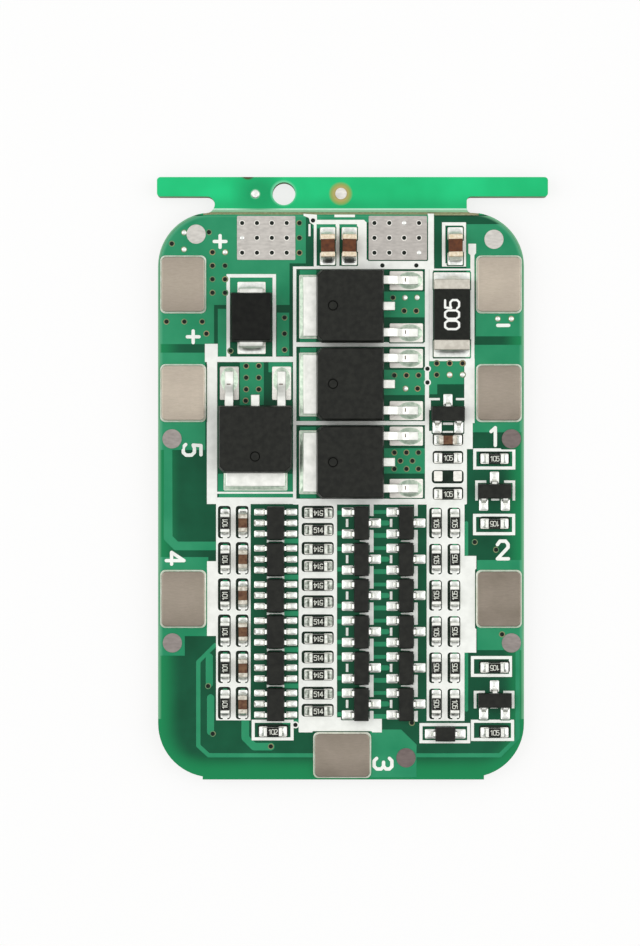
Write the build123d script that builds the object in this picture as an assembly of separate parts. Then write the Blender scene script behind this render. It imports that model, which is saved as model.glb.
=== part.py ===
from build123d import *
import math
import os

# A six-cell battery charging and protection board with its break-off rail, in millimetres.
# The origin is the middle of the board's underside, +Y points to the rail and +Z to the parts' side.

# Laminate
board_thickness = 1.6
corner_radius = 4.7
milled_edge_depth = 0.2  # the milled corners stop this far short of the snapped lower edge
snapped_edge_left = 12.1
snapped_edge_right = 12.5
score_width = 0.5
score_depth = 0.45
score_overrun = 0.3  # the groove runs this far past the middle of the slot beside the neck

# Break-off rail
rail_height = 3.1
slot_width = 1.4
rail_left = 16.1
rail_right = 18.1
neck_left = 11.05
neck_right = 11.0
right_slot_radius = 0.4
rail_corner_radius = 0.3
tooling_hole_radius = 1.0
tooling_hole_x = -5.0
tooling_hole_edge = 1.45
rail_via_x = -7.5
rail_via_radius = 0.3
fiducial_radius = 0.5

# Copper lands, print and drilled holes
land_thickness = 0.06
print_thickness = 0.04
print_gap = 0.1
print_line = 0.28
print_bar = 0.95
frame_gap = 0.3
tap_block_width = 1.0
row_dash = 0.7
foot_bar = 1.05
via_radius = 0.17
via_sides = 6
test_pad_radius = 0.84
round_sides = 16
corner_steps = 3

# Nickel terminal tabs
tab_width = 3.75
tab_length = 4.8
tab_thickness = 0.4
tab_corner = 0.4
tab_rim = 0.12
tab_edge_gap = 0.2
pack_tab_inset = 6.3
outer_tap_y = 9.0
lower_tab_gap = 0.15
lower_tab_x = 0.1

# Output lands with their drilled fields
output_land_width = 5.1
output_land_height = 3.85
output_land_gap = 0.3
plus_land_x = -6.55
minus_land_x = 4.97
output_via_pitch = 1.3
output_via_columns = 4
output_via_rows = 3
output_capacitor_inset = 2.95
output_fet_gap = 0.9

# Power transistors, each a moulded case on a solder tab
fet_case_width = 6.4
fet_case_length = 5.9
fet_case_height = 2.25
fet_case_lift = 0.05
fet_parting_z = 1.1
fet_draft = 7
fet_corner_cut = 0.45
fet_tab_width = 5.2
fet_tab_out = 1.15
fet_tab_thickness = 0.5
fet_tab_inside = 3.6
fet_lead_pitch = 2.286
fet_lead_width = 0.75
fet_lead_thickness = 0.45
fet_lead_out = 3.0
fet_lead_inside = 0.9
fet_lead_z = 0.85
fet_lead_shoulder = 0.75
fet_lead_run = 0.6
fet_stub_out = 0.95
fet_dimple_radius = 0.4
fet_dimple_depth = 0.06
fet_dimple_inset = 1.45
fet_dimple_sides = 12
fet_land_length = 2.9
fet_land_height = 1.65
fet_land_overhang = 0.42
fet_tab_land_out = 1.5
fet_tab_land_inside = 1.2
fet_tab_land_side = 0.18
fet_gap = 0.4
fet_column_x = 0.79
fet_count = 3
charge_fet_gap = 0.24  # from the column's print to the charge transistor's case
charge_fet_foot = 0.74  # from the lowest case of the column up to the charge transistor's tab land

# Surge diode
diode_case_length = 4.35
diode_case_width = 3.65
diode_case_height = 2.2
diode_case_lift = 0.15
diode_parting_z = 1.0
diode_draft = 7
diode_lead_width = 2.05
diode_lead_thickness = 0.22
diode_lead_out = 0.42
diode_lead_under = 1.0
diode_land_overhang = 0.55
diode_land_side = 0.2
diode_shift = 0.35
diode_fet_gap = 1.12

# Current shunt
shunt_length = 6.2
shunt_width = 3.1
shunt_height = 0.6
shunt_cap_length = 0.9
shunt_cap_lip = 0.06
solder_foot = 0.25
solder_rise = 0.25
shunt_land_overhang = 0.6
shunt_fet_gap = 0.6
shunt_tab_gap = 0.57
shunt_capacitor_gap = 0.65
sense_capacitor_shift = 0.3

# Chip resistors and capacitors
chip_length = 1.6
chip_width = 0.8
resistor_height = 0.45
capacitor_height = 0.8
chip_cap_length = 0.32
chip_cap_lip = 0.03
chip_land_overhang = 0.42
chip_land_side = 0.04
big_chip_length = 2.0
big_chip_width = 1.25
big_chip_height = 1.1
big_chip_cap_length = 0.45
big_chip_land_overhang = 0.65

# Small moulded transistors and the cell monitors
case_lift = 0.08
case_draft = 8
small_lead_thickness = 0.14
small_lead_inside = 0.2
small_lead_shoulder = 0.12
small_lead_run = 0.14
lead_pitch = 0.95
land_toe = 0.5
transistor_width = 1.3
transistor_length = 2.92
transistor_height = 1.0
transistor_lead_width = 0.42
transistor_lead_out = 0.55
transistor_land_length = 1.0
transistor_land_width = 0.78
monitor_width = 1.55
monitor_height = 1.1
monitor_lead_width = 0.38
monitor_lead_out = 0.6
monitor_land_length = 0.95
monitor_land_width = 0.55

# Polarity diode
small_diode_length = 1.75
small_diode_width = 1.3
small_diode_height = 0.9
small_diode_lead_out = 0.4
small_diode_lead_width = 0.4
small_diode_land_length = 1.0
small_diode_land_width = 0.8
small_diode_shift = 0.02
small_diode_drop = 1.03

# Where the repeated cell circuits stand
cell_count = 6
row_gap = 0.245
fet_row_gap = 0.53
row_tab_gap = 0.89
monitor_x = -5.72
filter_to_monitor = 2.86
balance_to_filter = 1.56
monitor_to_gate = 3.74
gate_resistor_pitch = 1.5
gate_resistor_offset = 0.13
gate_to_first = 3.76
first_to_second = 3.9
second_to_pull = 2.65
pull_to_bias = 1.61

# Where the single small parts stand
plus_capacitor_x = -1.17
minus_capacitor_x = 0.73
control_shift = 1.02
control_row_gap = 0.94
control_chip_count = 4
control_chip_pitch = 1.58
control_transistor_rise = 2.3
bias_column_inset = 2.58
upper_bias_y = 0.42
lower_bias_rise = 6.96
bias_chip_spacing = 2.84
reference_shift = 0.23
reference_drop = 0.83

# The board's length and width follow from what stands on it, column by column
tab_land_width = tab_width + 2 * tab_rim
tab_land_length = tab_length + 2 * tab_rim
row_pitch = transistor_length + row_gap
fet_pitch = fet_case_width + fet_gap
fet_stack = fet_count * fet_case_width + (fet_count - 1) * fet_gap
output_stack = output_land_gap + output_land_height + output_fet_gap
cell_stack = fet_row_gap + cell_count * row_pitch + row_tab_gap
board_length = output_stack + fet_stack + cell_stack + tab_land_width + lower_tab_gap
top_edge = board_length / 2
rail_top = top_edge + rail_height
slot_top = top_edge + slot_width
land_top = board_thickness + land_thickness
fet_window_left = fet_column_x - fet_case_length / 2 - fet_tab_land_out - print_gap
fet_window_right = fet_column_x + fet_case_length / 2 + fet_lead_out + fet_land_overhang + print_gap
shunt_x = fet_window_right + print_line + shunt_fet_gap + shunt_width / 2
tab_x = shunt_x + shunt_width / 2 + shunt_tab_gap + tab_land_width / 2
board_half = tab_x + tab_land_width / 2 + tab_edge_gap

# Where each part stands, from the edges and its neighbours
output_land_y = top_edge - output_land_gap - output_land_height / 2
output_capacitor_y = top_edge - output_capacitor_inset
pack_tab_y = top_edge - pack_tab_inset
lower_tab_y = -top_edge + lower_tab_gap + tab_land_width / 2
fet_column_top = top_edge - output_stack
fet_column_foot = fet_column_top - fet_stack
fet_middles = [fet_column_top - fet_case_width / 2 - fet_pitch * i for i in range(fet_count)]
charge_fet_x = fet_window_left - print_line - charge_fet_gap - fet_case_width / 2
charge_fet_y = fet_column_foot + charge_fet_foot + fet_tab_land_out + fet_case_length / 2
charge_fet_top = charge_fet_y + fet_case_length / 2 + fet_lead_out + fet_land_overhang
diode_x = charge_fet_x - diode_shift
diode_y = charge_fet_top + diode_fet_gap + diode_land_overhang + diode_lead_out + diode_case_length / 2
sense_capacitor_x = shunt_x + sense_capacitor_shift
sense_capacitor_low = output_capacitor_y - big_chip_length / 2 - big_chip_land_overhang
shunt_y = sense_capacitor_low - shunt_capacitor_gap - shunt_land_overhang - shunt_length / 2
row_top = fet_column_foot - fet_row_gap
row_places = [row_top - row_pitch * (i + 0.5) for i in range(cell_count)]
row_bottom = row_top - cell_count * row_pitch
filter_capacitor_x = monitor_x - filter_to_monitor
balance_resistor_x = filter_capacitor_x - balance_to_filter
gate_resistor_x = monitor_x + monitor_to_gate
first_transistor_x = gate_resistor_x + gate_to_first
second_transistor_x = first_transistor_x + first_to_second
pull_resistor_x = second_transistor_x + second_to_pull
bias_resistor_x = pull_resistor_x + pull_to_bias
control_column_x = pull_resistor_x + control_shift
control_rows = [
    row_top + control_row_gap + control_chip_pitch * i for i in reversed(range(control_chip_count))
]
control_transistor_y = control_rows[0] + control_transistor_rise
bias_column_x = board_half - bias_column_inset
lower_bias_y = -top_edge + lower_bias_rise
reference_resistor_x = monitor_x - reference_shift
reference_resistor_y = row_bottom - reference_drop
small_diode_x = (pull_resistor_x + bias_resistor_x) / 2 - small_diode_shift
small_diode_y = row_bottom - small_diode_drop

tab_places = {
    "tab_pack_plus": (-tab_x, pack_tab_y, 0),
    "tab_cell_5": (-tab_x, outer_tap_y, 0),
    "tab_cell_4": (-tab_x, -outer_tap_y, 0),
    "tab_cell_3": (lower_tab_x, lower_tab_y, 90),
    "tab_cell_2": (tab_x, -outer_tap_y, 0),
    "tab_cell_1": (tab_x, outer_tap_y, 0),
    "tab_pack_minus": (tab_x, pack_tab_y, 0),
}
fet_places = {f"discharge_fet_{i + 1}": (fet_column_x, y, 0) for i, y in enumerate(fet_middles)}
fet_places["charge_fet"] = (charge_fet_x, charge_fet_y, 90)
test_pads = [
    (-tab_x + 1.13, top_edge - 1.9),
    (tab_x - 0.43, top_edge - 2.35),
    (-tab_x - 0.98, outer_tap_y - 4.0),
    (tab_x + 1.1, outer_tap_y - 4.0),
    (-tab_x - 0.95, -outer_tap_y - 3.85),
    (tab_x + 1.1, -outer_tap_y - 3.85),
    (second_transistor_x, -top_edge + 1.9),
]


def grid(x, y, columns, rows, pitch_x, pitch_y):
    """Centres of a drilled field."""
    return [
        (x + (i - (columns - 1) / 2) * pitch_x, y + (j - (rows - 1) / 2) * pitch_y)
        for i in range(columns)
        for j in range(rows)
    ]


def placed(rects, x, y, angle):
    """Footprint rectangles (middle and size) moved to a part's place, in quarter turns."""
    across = angle % 180 == 90
    if across:
        return [(x - cy, y + cx, h, w) for cx, cy, w, h in rects]
    return [(x + cx, y + cy, w, h) for cx, cy, w, h in rects]


def patch(rect, grow=0.0):
    """A rectangle of copper, print or nothing, grown on every side."""
    x, y, w, h = rect
    return Pos(x, y) * Rectangle(w + 2 * grow, h + 2 * grow)


def field(x0, y0, x1, y1):
    """A rectangle between two corners."""
    return Pos((x0 + x1) / 2, (y0 + y1) / 2) * Rectangle(x1 - x0, y1 - y0)


def around(rects):
    """The rectangle round a group of rectangles."""
    left = min(x - w / 2 for x, y, w, h in rects)
    right = max(x + w / 2 for x, y, w, h in rects)
    low = min(y - h / 2 for x, y, w, h in rects)
    high = max(y + h / 2 for x, y, w, h in rects)
    return ((left + right) / 2, (low + high) / 2, right - left, high - low)


def frame_round(rects, gap=print_gap):
    """A printed frame round a footprint."""
    outline = around(rects)
    return patch(outline, gap + print_line) - patch(outline, gap)


def rounded(width, height, radius):
    """A rectangle whose corners are rounded in a few straight steps."""
    points = []
    for turn, (side_x, side_y) in enumerate(((1, 1), (-1, 1), (-1, -1), (1, -1))):
        for step in range(corner_steps + 1):
            angle = math.pi / 2 * (turn + step / corner_steps)
            x = side_x * (width / 2 - radius) + radius * math.cos(angle)
            y = side_y * (height / 2 - radius) + radius * math.sin(angle)
            points.append((x, y))
    return Polygon(*points, align=None)


def seated(part, x, y, angle):
    """A part standing on its lands."""
    return Pos(x, y, land_top) * Rot(0, 0, angle) * part


def upright(points, width, y=0.0):
    """A profile in X and Z given a width along Y."""
    face = Plane.XZ * Polygon(*points, align=None)
    return Pos(0, y, 0) * extrude(face, amount=width / 2, both=True)


# Footprints, each about its part's own middle


def end_lands(length, width, cap, overhang, side):
    """The two lands of a part with a terminal at each end."""
    size = cap + overhang
    middle = length / 2 - cap + size / 2
    return [(sign * middle, 0, size, width + 2 * side) for sign in (-1, 1)]


def chip_lands():
    return end_lands(chip_length, chip_width, chip_cap_length, chip_land_overhang, chip_land_side)


def big_chip_lands():
    overhang = big_chip_land_overhang
    return end_lands(big_chip_length, big_chip_width, big_chip_cap_length, overhang, chip_land_side)


def shunt_lands():
    return end_lands(shunt_length, shunt_width, shunt_cap_length, shunt_land_overhang, chip_land_side)


def diode_lands():
    length = diode_case_length + 2 * diode_lead_out
    cap = diode_lead_under + diode_lead_out
    return end_lands(length, diode_lead_width, cap, diode_land_overhang, diode_land_side)


def small_diode_lands():
    reach = small_diode_length / 2 + small_diode_lead_out + land_toe - small_diode_land_length / 2
    return [(sign * reach, 0, small_diode_land_length, small_diode_land_width) for sign in (-1, 1)]


def transistor_lands():
    reach = transistor_width / 2 + transistor_lead_out + land_toe - transistor_land_length / 2
    places = ((-reach, -lead_pitch), (-reach, lead_pitch), (reach, 0))
    return [(x, y, transistor_land_length, transistor_land_width) for x, y in places]


def monitor_lands():
    reach = monitor_width / 2 + monitor_lead_out + land_toe - monitor_land_length / 2
    return [
        (side * reach, i * lead_pitch, monitor_land_length, monitor_land_width)
        for side in (-1, 1)
        for i in (-1, 0, 1)
    ]


def fet_lands():
    """The land under the solder tab and the two under the outer leads."""
    half = fet_case_length / 2
    tab = (-half - fet_tab_land_out, -half + fet_tab_land_inside)
    tab_width_all = fet_tab_width + 2 * fet_tab_land_side
    lead_x = half + fet_lead_out + fet_land_overhang - fet_land_length / 2
    lands = [((tab[0] + tab[1]) / 2, 0, tab[1] - tab[0], tab_width_all)]
    return lands + [(lead_x, side * fet_lead_pitch, fet_land_length, fet_land_height) for side in (-1, 1)]


# Components, each standing on height zero about its own middle


def chip(length, width, height, cap, lip):
    """A ceramic chip whose end caps stand proud of the body."""
    half = length / 2
    inner = half - cap
    end = [(inner, height - lip), (inner, height), (half, height), (half, 0)]
    return upright(end + [(-x, z) for x, z in reversed(end)], width)


def resistor():
    return chip(chip_length, chip_width, resistor_height, chip_cap_length, chip_cap_lip)


def capacitor():
    return chip(chip_length, chip_width, capacitor_height, chip_cap_length, chip_cap_lip)


def big_capacitor():
    return chip(big_chip_length, big_chip_width, big_chip_height, big_chip_cap_length, chip_cap_lip)


def case_outline(size_x, size_y, cut):
    """A case section, with the two corners on the tab side cut off."""
    x, y = size_x / 2, size_y / 2
    if not cut:
        return Rectangle(size_x, size_y)
    corners = [(x, -y), (x, y), (-x + cut, y), (-x, y - cut), (-x, -y + cut), (-x + cut, -y)]
    return Polygon(*corners, align=None)


def moulded_case(size_x, size_y, low, parting, high, draft, cut=0.0):
    """A moulded case, widest at its parting line and drafted both ways."""
    slope = 2 * math.tan(math.radians(draft))
    sections = []
    for z in (low, parting, high):
        shrink = abs(z - parting) * slope
        sections.append(Pos(0, 0, z) * case_outline(size_x - shrink, size_y - shrink, cut))
    return loft(sections, ruled=True)


def small_case(size_x, size_y, high, out, width, ends):
    """A small moulded case with leads that leave it at the parting line and end flat on their lands."""
    thick = small_lead_thickness
    z = (high - thick) / 2
    face = size_x / 2
    knee = face + small_lead_shoulder
    points = [
        (face - small_lead_inside, z), (knee, z), (knee + small_lead_run, 0), (face + out, 0),
        (face + out, thick), (knee + thick / 2, z + thick), (face - small_lead_inside, z + thick),
    ]
    case = moulded_case(size_x, size_y, case_lift, z, high, case_draft)
    for side, y in ends:
        case += upright([(side * x, height) for x, height in points], width, y)
    return case


def small_transistor():
    """Two leads on one long side and one on the other."""
    lead = (transistor_lead_out, transistor_lead_width)
    ends = ((-1, -lead_pitch), (-1, lead_pitch), (1, 0))
    return small_case(transistor_width, transistor_length, transistor_height, *lead, ends)


def cell_monitor():
    """A six-lead case as long as the transistors beside it."""
    lead = (monitor_lead_out, monitor_lead_width)
    ends = [(side, i * lead_pitch) for side in (-1, 1) for i in (-1, 0, 1)]
    return small_case(monitor_width, transistor_length, monitor_height, *lead, ends)


def small_diode():
    lead = (small_diode_lead_out, small_diode_lead_width)
    ends = ((-1, 0), (1, 0))
    return small_case(small_diode_length, small_diode_width, small_diode_height, *lead, ends)


def fet_lead(y):
    """An outer lead that leaves the case, steps down and ends flat on its land."""
    face = fet_case_length / 2
    thick = fet_lead_thickness
    start = face - fet_lead_inside
    knee = face + fet_lead_shoulder
    heel = knee + fet_lead_run
    toe = face + fet_lead_out
    points = [
        (start, fet_lead_z), (knee, fet_lead_z), (heel, 0), (toe, 0), (toe, thick),
        (heel + thick / 2, thick), (knee + thick / 2, fet_lead_z + thick), (start, fet_lead_z + thick),
    ]
    return upright(points, fet_lead_width, y)


def fet_leadframe():
    """The solder tab with its cropped middle lead, and the two outer leads."""
    face = fet_case_length / 2
    tab_length_all = fet_tab_out + fet_tab_inside
    tab_middle = -face - fet_tab_out + tab_length_all / 2
    tab = Pos(tab_middle, 0, fet_tab_thickness / 2) * Box(tab_length_all, fet_tab_width, fet_tab_thickness)
    tab_end = -face + fet_tab_inside
    stub = upright(
        [
            (tab_end - fet_lead_thickness, 0), (tab_end, 0), (face - fet_lead_inside, fet_lead_z),
            (face + fet_stub_out, fet_lead_z), (face + fet_stub_out, fet_lead_z + fet_lead_thickness),
            (face - fet_lead_inside - fet_lead_thickness / 2, fet_lead_z + fet_lead_thickness),
            (tab_end - fet_lead_thickness, fet_tab_thickness),
        ],
        fet_lead_width,
    )
    leads = [fet_lead(side * fet_lead_pitch) for side in (-1, 1)]
    return Compound([(tab + stub).solid()] + [lead.solid() for lead in leads])


def fet_case(leadframe):
    """The moulding round the leadframe, with its pin-one dimple."""
    size = (fet_case_length, fet_case_width)
    case = moulded_case(*size, fet_case_lift, fet_parting_z, fet_case_height, fet_draft, fet_corner_cut)
    dimple_x = -fet_case_length / 2 + fet_dimple_inset
    ring = Pos(dimple_x, 0, fet_case_height) * RegularPolygon(fet_dimple_radius, fet_dimple_sides)
    return case - extrude(ring, fet_dimple_depth, both=True) - leadframe


def surge_diode():
    """A moulded case whose flat leads wrap down its ends and under it."""
    half = diode_case_length / 2
    thick = diode_lead_thickness
    size = (diode_case_length, diode_case_width)
    case = moulded_case(*size, diode_case_lift, diode_parting_z, diode_case_height, diode_draft)
    for side in (-1, 1):
        outer = half + diode_lead_out
        top = diode_parting_z + thick
        points = [
            (half - diode_lead_under, 0), (outer, 0), (outer, top), (half - thick, top),
            (half - thick, diode_parting_z), (outer - thick, diode_parting_z), (outer - thick, thick),
            (half - diode_lead_under, thick),
        ]
        case += upright([(side * x, z) for x, z in points], diode_lead_width)
    return case


def shunt_element():
    """The dark resistive plate between the end caps."""
    return Pos(0, 0, shunt_height / 2) * Box(
        shunt_length - 2 * shunt_cap_length, shunt_width, shunt_height - 2 * shunt_cap_lip
    )


def shunt_caps():
    """Plated ends with solder climbing their outer faces."""
    half = shunt_length / 2
    inner = half - shunt_cap_length
    points = [(inner, 0), (inner, shunt_height), (half, shunt_height)]
    points += [(half, solder_rise), (half + solder_foot, 0)]
    caps = [upright([(side * x, z) for x, z in points], shunt_width) for side in (-1, 1)]
    return Compound([cap.solid() for cap in caps])


def terminal_tab():
    """A nickel pad with rounded corners."""
    return extrude(rounded(tab_width, tab_length, tab_corner), tab_thickness)


# Where each component type stands, with its footprint
transistor_places = [(control_column_x, control_transistor_y, 90)]
transistor_places += [(bias_column_x, y, 90) for y in (upper_bias_y, lower_bias_y)]
bias_chips = [
    (bias_column_x, y + side * bias_chip_spacing, 0)
    for y in (upper_bias_y, lower_bias_y)
    for side in (1, -1)
]
control_chips = [(control_column_x, control_rows[i], 0) for i in (1, 3)]
lone_chips = bias_chips + control_chips + [(reference_resistor_x, reference_resistor_y, 0)]
output_capacitors = {
    "output_capacitor_plus": (plus_capacitor_x, output_capacitor_y, 90),
    "output_capacitor_minus": (minus_capacitor_x, output_capacitor_y, 90),
    "sense_capacitor": (sense_capacitor_x, output_capacitor_y, 90),
}


def row_resistors(y):
    """The five chip resistors of one cell circuit."""
    gate_y = y + gate_resistor_offset
    return [
        (balance_resistor_x, y, 90),
        (gate_resistor_x, gate_y + gate_resistor_pitch / 2, 0),
        (gate_resistor_x, gate_y - gate_resistor_pitch / 2, 0),
        (pull_resistor_x, y, 90),
        (bias_resistor_x, y, 90),
    ]


def chip_footprints():
    """The land pairs of every two-ended chip at their places."""
    chips = [(filter_capacitor_x, y, 90) for y in row_places]
    chips += [(control_column_x, y, 0) for y in control_rows]
    chips += bias_chips + [(reference_resistor_x, reference_resistor_y, 0)]
    for y in row_places:
        chips += row_resistors(y)
    pairs = [placed(chip_lands(), *place) for place in chips]
    pairs += [placed(big_chip_lands(), *place) for place in output_capacitors.values()]
    pairs.append(placed(shunt_lands(), shunt_x, shunt_y, 90))
    return pairs


def case_footprints():
    """The lands of every moulded part, and the two drilled output lands."""
    output_size = (output_land_width, output_land_height)
    lands = [(x, output_land_y, *output_size) for x in (plus_land_x, minus_land_x)]
    for place in fet_places.values():
        lands += placed(fet_lands(), *place)
    small = [(x, y, 0) for y in row_places for x in (first_transistor_x, second_transistor_x)]
    for place in small + transistor_places:
        lands += placed(transistor_lands(), *place)
    for y in row_places:
        lands += placed(monitor_lands(), monitor_x, y, 0)
    lands += placed(diode_lands(), diode_x, diode_y, 90)
    return lands + placed(small_diode_lands(), small_diode_x, small_diode_y, 0)


def tab_lands(grow=0.0):
    """The solder rims under the nickel tabs."""
    rim = rounded(tab_land_width + 2 * grow, tab_land_length + 2 * grow, tab_corner + tab_rim)
    return [Pos(x, y) * Rot(0, 0, angle) * rim for x, y, angle in tab_places.values()]


def output_vias():
    """The drilled output lands, and one more column beside the first."""
    pitch = output_via_pitch
    places = grid(plus_land_x - 0.15, output_land_y, output_via_columns, output_via_rows, pitch, pitch)
    places += grid(minus_land_x - 0.1, output_land_y, output_via_columns, output_via_rows, pitch, pitch)
    places += grid(plus_land_x + 2.91, output_land_y, 1, output_via_rows, pitch, pitch)
    return places + grid(minus_land_x + 0.13, output_land_y - 2.41, 2, 1, 2.97, 0)


def power_vias():
    """Holes that carry current beside the power transistors, the diode and the shunt."""
    lead_x = fet_column_x + fet_case_length / 2 + 1.95
    places = []
    for x, y in zip((lead_x - 0.09, lead_x + 0.03), fet_middles):
        places += grid(x, y + 0.8, 3, 1, 1.06, 0)
        places += grid(x + 0.45, y - 0.36, 2, 1, 1.05, 0)
    for rise, columns in ((0.85, 3), (0.12, 2), (-0.58, 3)):
        places += grid(lead_x + 0.03, fet_middles[-1] + rise, columns, 1, 1.05, 0)
    places += grid(fet_window_right + print_line / 2 + 0.16, fet_middles[1] + 0.78, 1, 2, 0, 1.2)
    places += grid(control_column_x + 0.15, shunt_y - 4.75, 3, 2, 1.13, 1.0)
    places += grid(charge_fet_x - 0.27, charge_fet_y + 5.41, 2, 3, 1.1, 1.02)
    places += grid(diode_x + 2.89, diode_y - 1.38, 1, 3, 0, 1.41)
    return places + [(diode_x - 1.83, diode_y - 2.88), (charge_fet_x - 0.86, charge_fet_y + 3.4)]


def tab_vias():
    """Holes round the pack tabs."""
    places = grid(-tab_x + 3.11, pack_tab_y + 1.05, 2, 4, 1.1, 1.18)
    places += grid(-tab_x + 0.08, top_edge - 2.5, 1, 2, 0, 1.48)
    places += grid(-tab_x + 0.1, pack_tab_y - 3.25, 3, 1, 1.56, 0)
    places += grid(tab_x + 0.5, pack_tab_y - 3.0, 2, 1, 1.18, 0)
    places += [(-tab_x - 1.0, top_edge - 2.73), (-tab_x + 2.25, top_edge - 1.73)]
    return places + [(-tab_x + 2.03, pack_tab_y - 4.3)]


def signal_vias():
    """Lone holes of the signal tracks."""
    return [
        (plus_capacitor_x - 1.28, top_edge - 0.7),
        (bias_column_x - 1.73, upper_bias_y - 4.45),
        (bias_column_x + 0.14, upper_bias_y - 5.12),
        (bias_column_x + 0.66, -outer_tap_y - 3.1),
        (second_transistor_x + 0.52, row_bottom - 0.07),
        (gate_resistor_x - 2.01, row_bottom - 0.25),
        (balance_resistor_x - 1.49, row_bottom + 3.14),
        (balance_resistor_x - 1.08, row_bottom - 1.03),
        (reference_resistor_x - 0.19, row_bottom - 2.13),
    ]


def all_vias():
    return output_vias() + power_vias() + tab_vias() + signal_vias()


def via_holes():
    return [Pos(x, y) * RegularPolygon(via_radius, via_sides) for x, y in all_vias()]


def board_outline():
    """The milled outline: a rounded board, two slots and the rail above them."""
    milled = field(-board_half, -top_edge + milled_edge_depth, board_half, top_edge)
    milled = fillet(milled.vertices(), corner_radius)
    snapped = field(-snapped_edge_left, -top_edge, snapped_edge_right, 0)
    neck = field(-neck_left - slot_width / 2, top_edge - corner_radius, neck_right, rail_top)
    neck -= Pos(-neck_left - slot_width / 2, top_edge + slot_width / 2) * Circle(slot_width / 2)
    rail = field(-rail_left, slot_top, rail_right, rail_top)
    rail = fillet(rail.vertices(), rail_corner_radius)
    slot_middle = neck_right + right_slot_radius
    low, high = top_edge + right_slot_radius, slot_top - right_slot_radius
    right_slot = field(neck_right, top_edge, slot_middle, slot_top)
    right_slot -= field(neck_right, low, slot_middle, high)
    for y in (low, high):
        right_slot -= Pos(slot_middle, y) * Circle(right_slot_radius)
    return milled + snapped + neck + rail + right_slot


def score_groove(z, angle):
    """A V groove along the line where the rail snaps off."""
    profile = Polygon((-score_width / 2, 0), (score_width / 2, 0), (0, -score_depth), align=None)
    reach = neck_left + slot_width / 2 + score_overrun
    groove = extrude(Plane.YZ * profile, amount=reach, both=True)
    return Pos(0, top_edge, z) * Rot(angle, 0, 0) * groove


def circuit_board():
    """The drilled laminate with its rail still on."""
    tooling_hole = Pos(tooling_hole_x, rail_top - tooling_hole_edge) * Circle(tooling_hole_radius)
    rail_hole = Pos(rail_via_x, rail_top - tooling_hole_edge) * RegularPolygon(rail_via_radius, via_sides)
    plan = board_outline() - tooling_hole - rail_hole - via_holes()
    board = extrude(plan, board_thickness)
    return board - score_groove(board_thickness, 0) - score_groove(0, 180)


def tinned_lands():
    """All bare tinned copper, drilled with the board."""
    plan = [patch(land) for pair in chip_footprints() for land in pair]
    plan += [patch(land) for land in case_footprints()]
    plan += [Pos(x, y) * RegularPolygon(test_pad_radius, round_sides) for x, y in test_pads]
    plan.append(Pos(0, rail_top - tooling_hole_edge) * RegularPolygon(fiducial_radius, round_sides))
    plan += tab_lands()
    return Pos(0, 0, board_thickness) * extrude(Sketch() + plan - via_holes(), land_thickness)


def row_print():
    """Printed fields and lines between the six cell circuits."""
    chip_room = chip_width / 2 + chip_land_side + print_gap
    chip_reach = chip_length / 2 + chip_land_overhang + print_gap
    left_side = balance_resistor_x - chip_room - print_line
    right_side = bias_resistor_x + chip_room + print_line
    foot = row_bottom - foot_bar
    parts = [
        field(left_side, row_bottom, filter_capacitor_x + chip_room, row_top),
        field(gate_resistor_x - chip_reach - print_line / 2, foot, gate_resistor_x + chip_reach, row_top),
        field(pull_resistor_x - chip_room - print_line, row_bottom, right_side, row_top),
        field(gate_resistor_x, foot, first_transistor_x + transistor_width, row_bottom - print_gap),
    ]
    tap_low, tap_high = -outer_tap_y - tab_length / 2, -outer_tap_y + tab_length / 2 + print_bar
    parts.append(field(left_side - tap_block_width, tap_low - print_bar, left_side, tap_high))
    parts.append(field(right_side, tap_low - 2 * print_bar, right_side + tap_block_width, tap_high))
    for x in (first_transistor_x, second_transistor_x):
        right = x + transistor_width / 2 + print_gap
        for y in row_places:
            for side in (-1, 1):
                middle = y + side * (row_pitch + transistor_land_width + print_gap) / 4
                length = (row_pitch - transistor_land_width) / 2 - print_gap
                parts.append(Pos(right + print_line / 2, middle) * Rectangle(print_line, length))
            dash = x - transistor_width / 2 - print_gap - print_line
            parts.append(Pos(dash, y) * Rectangle(print_line, row_dash))
    return parts


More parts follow.
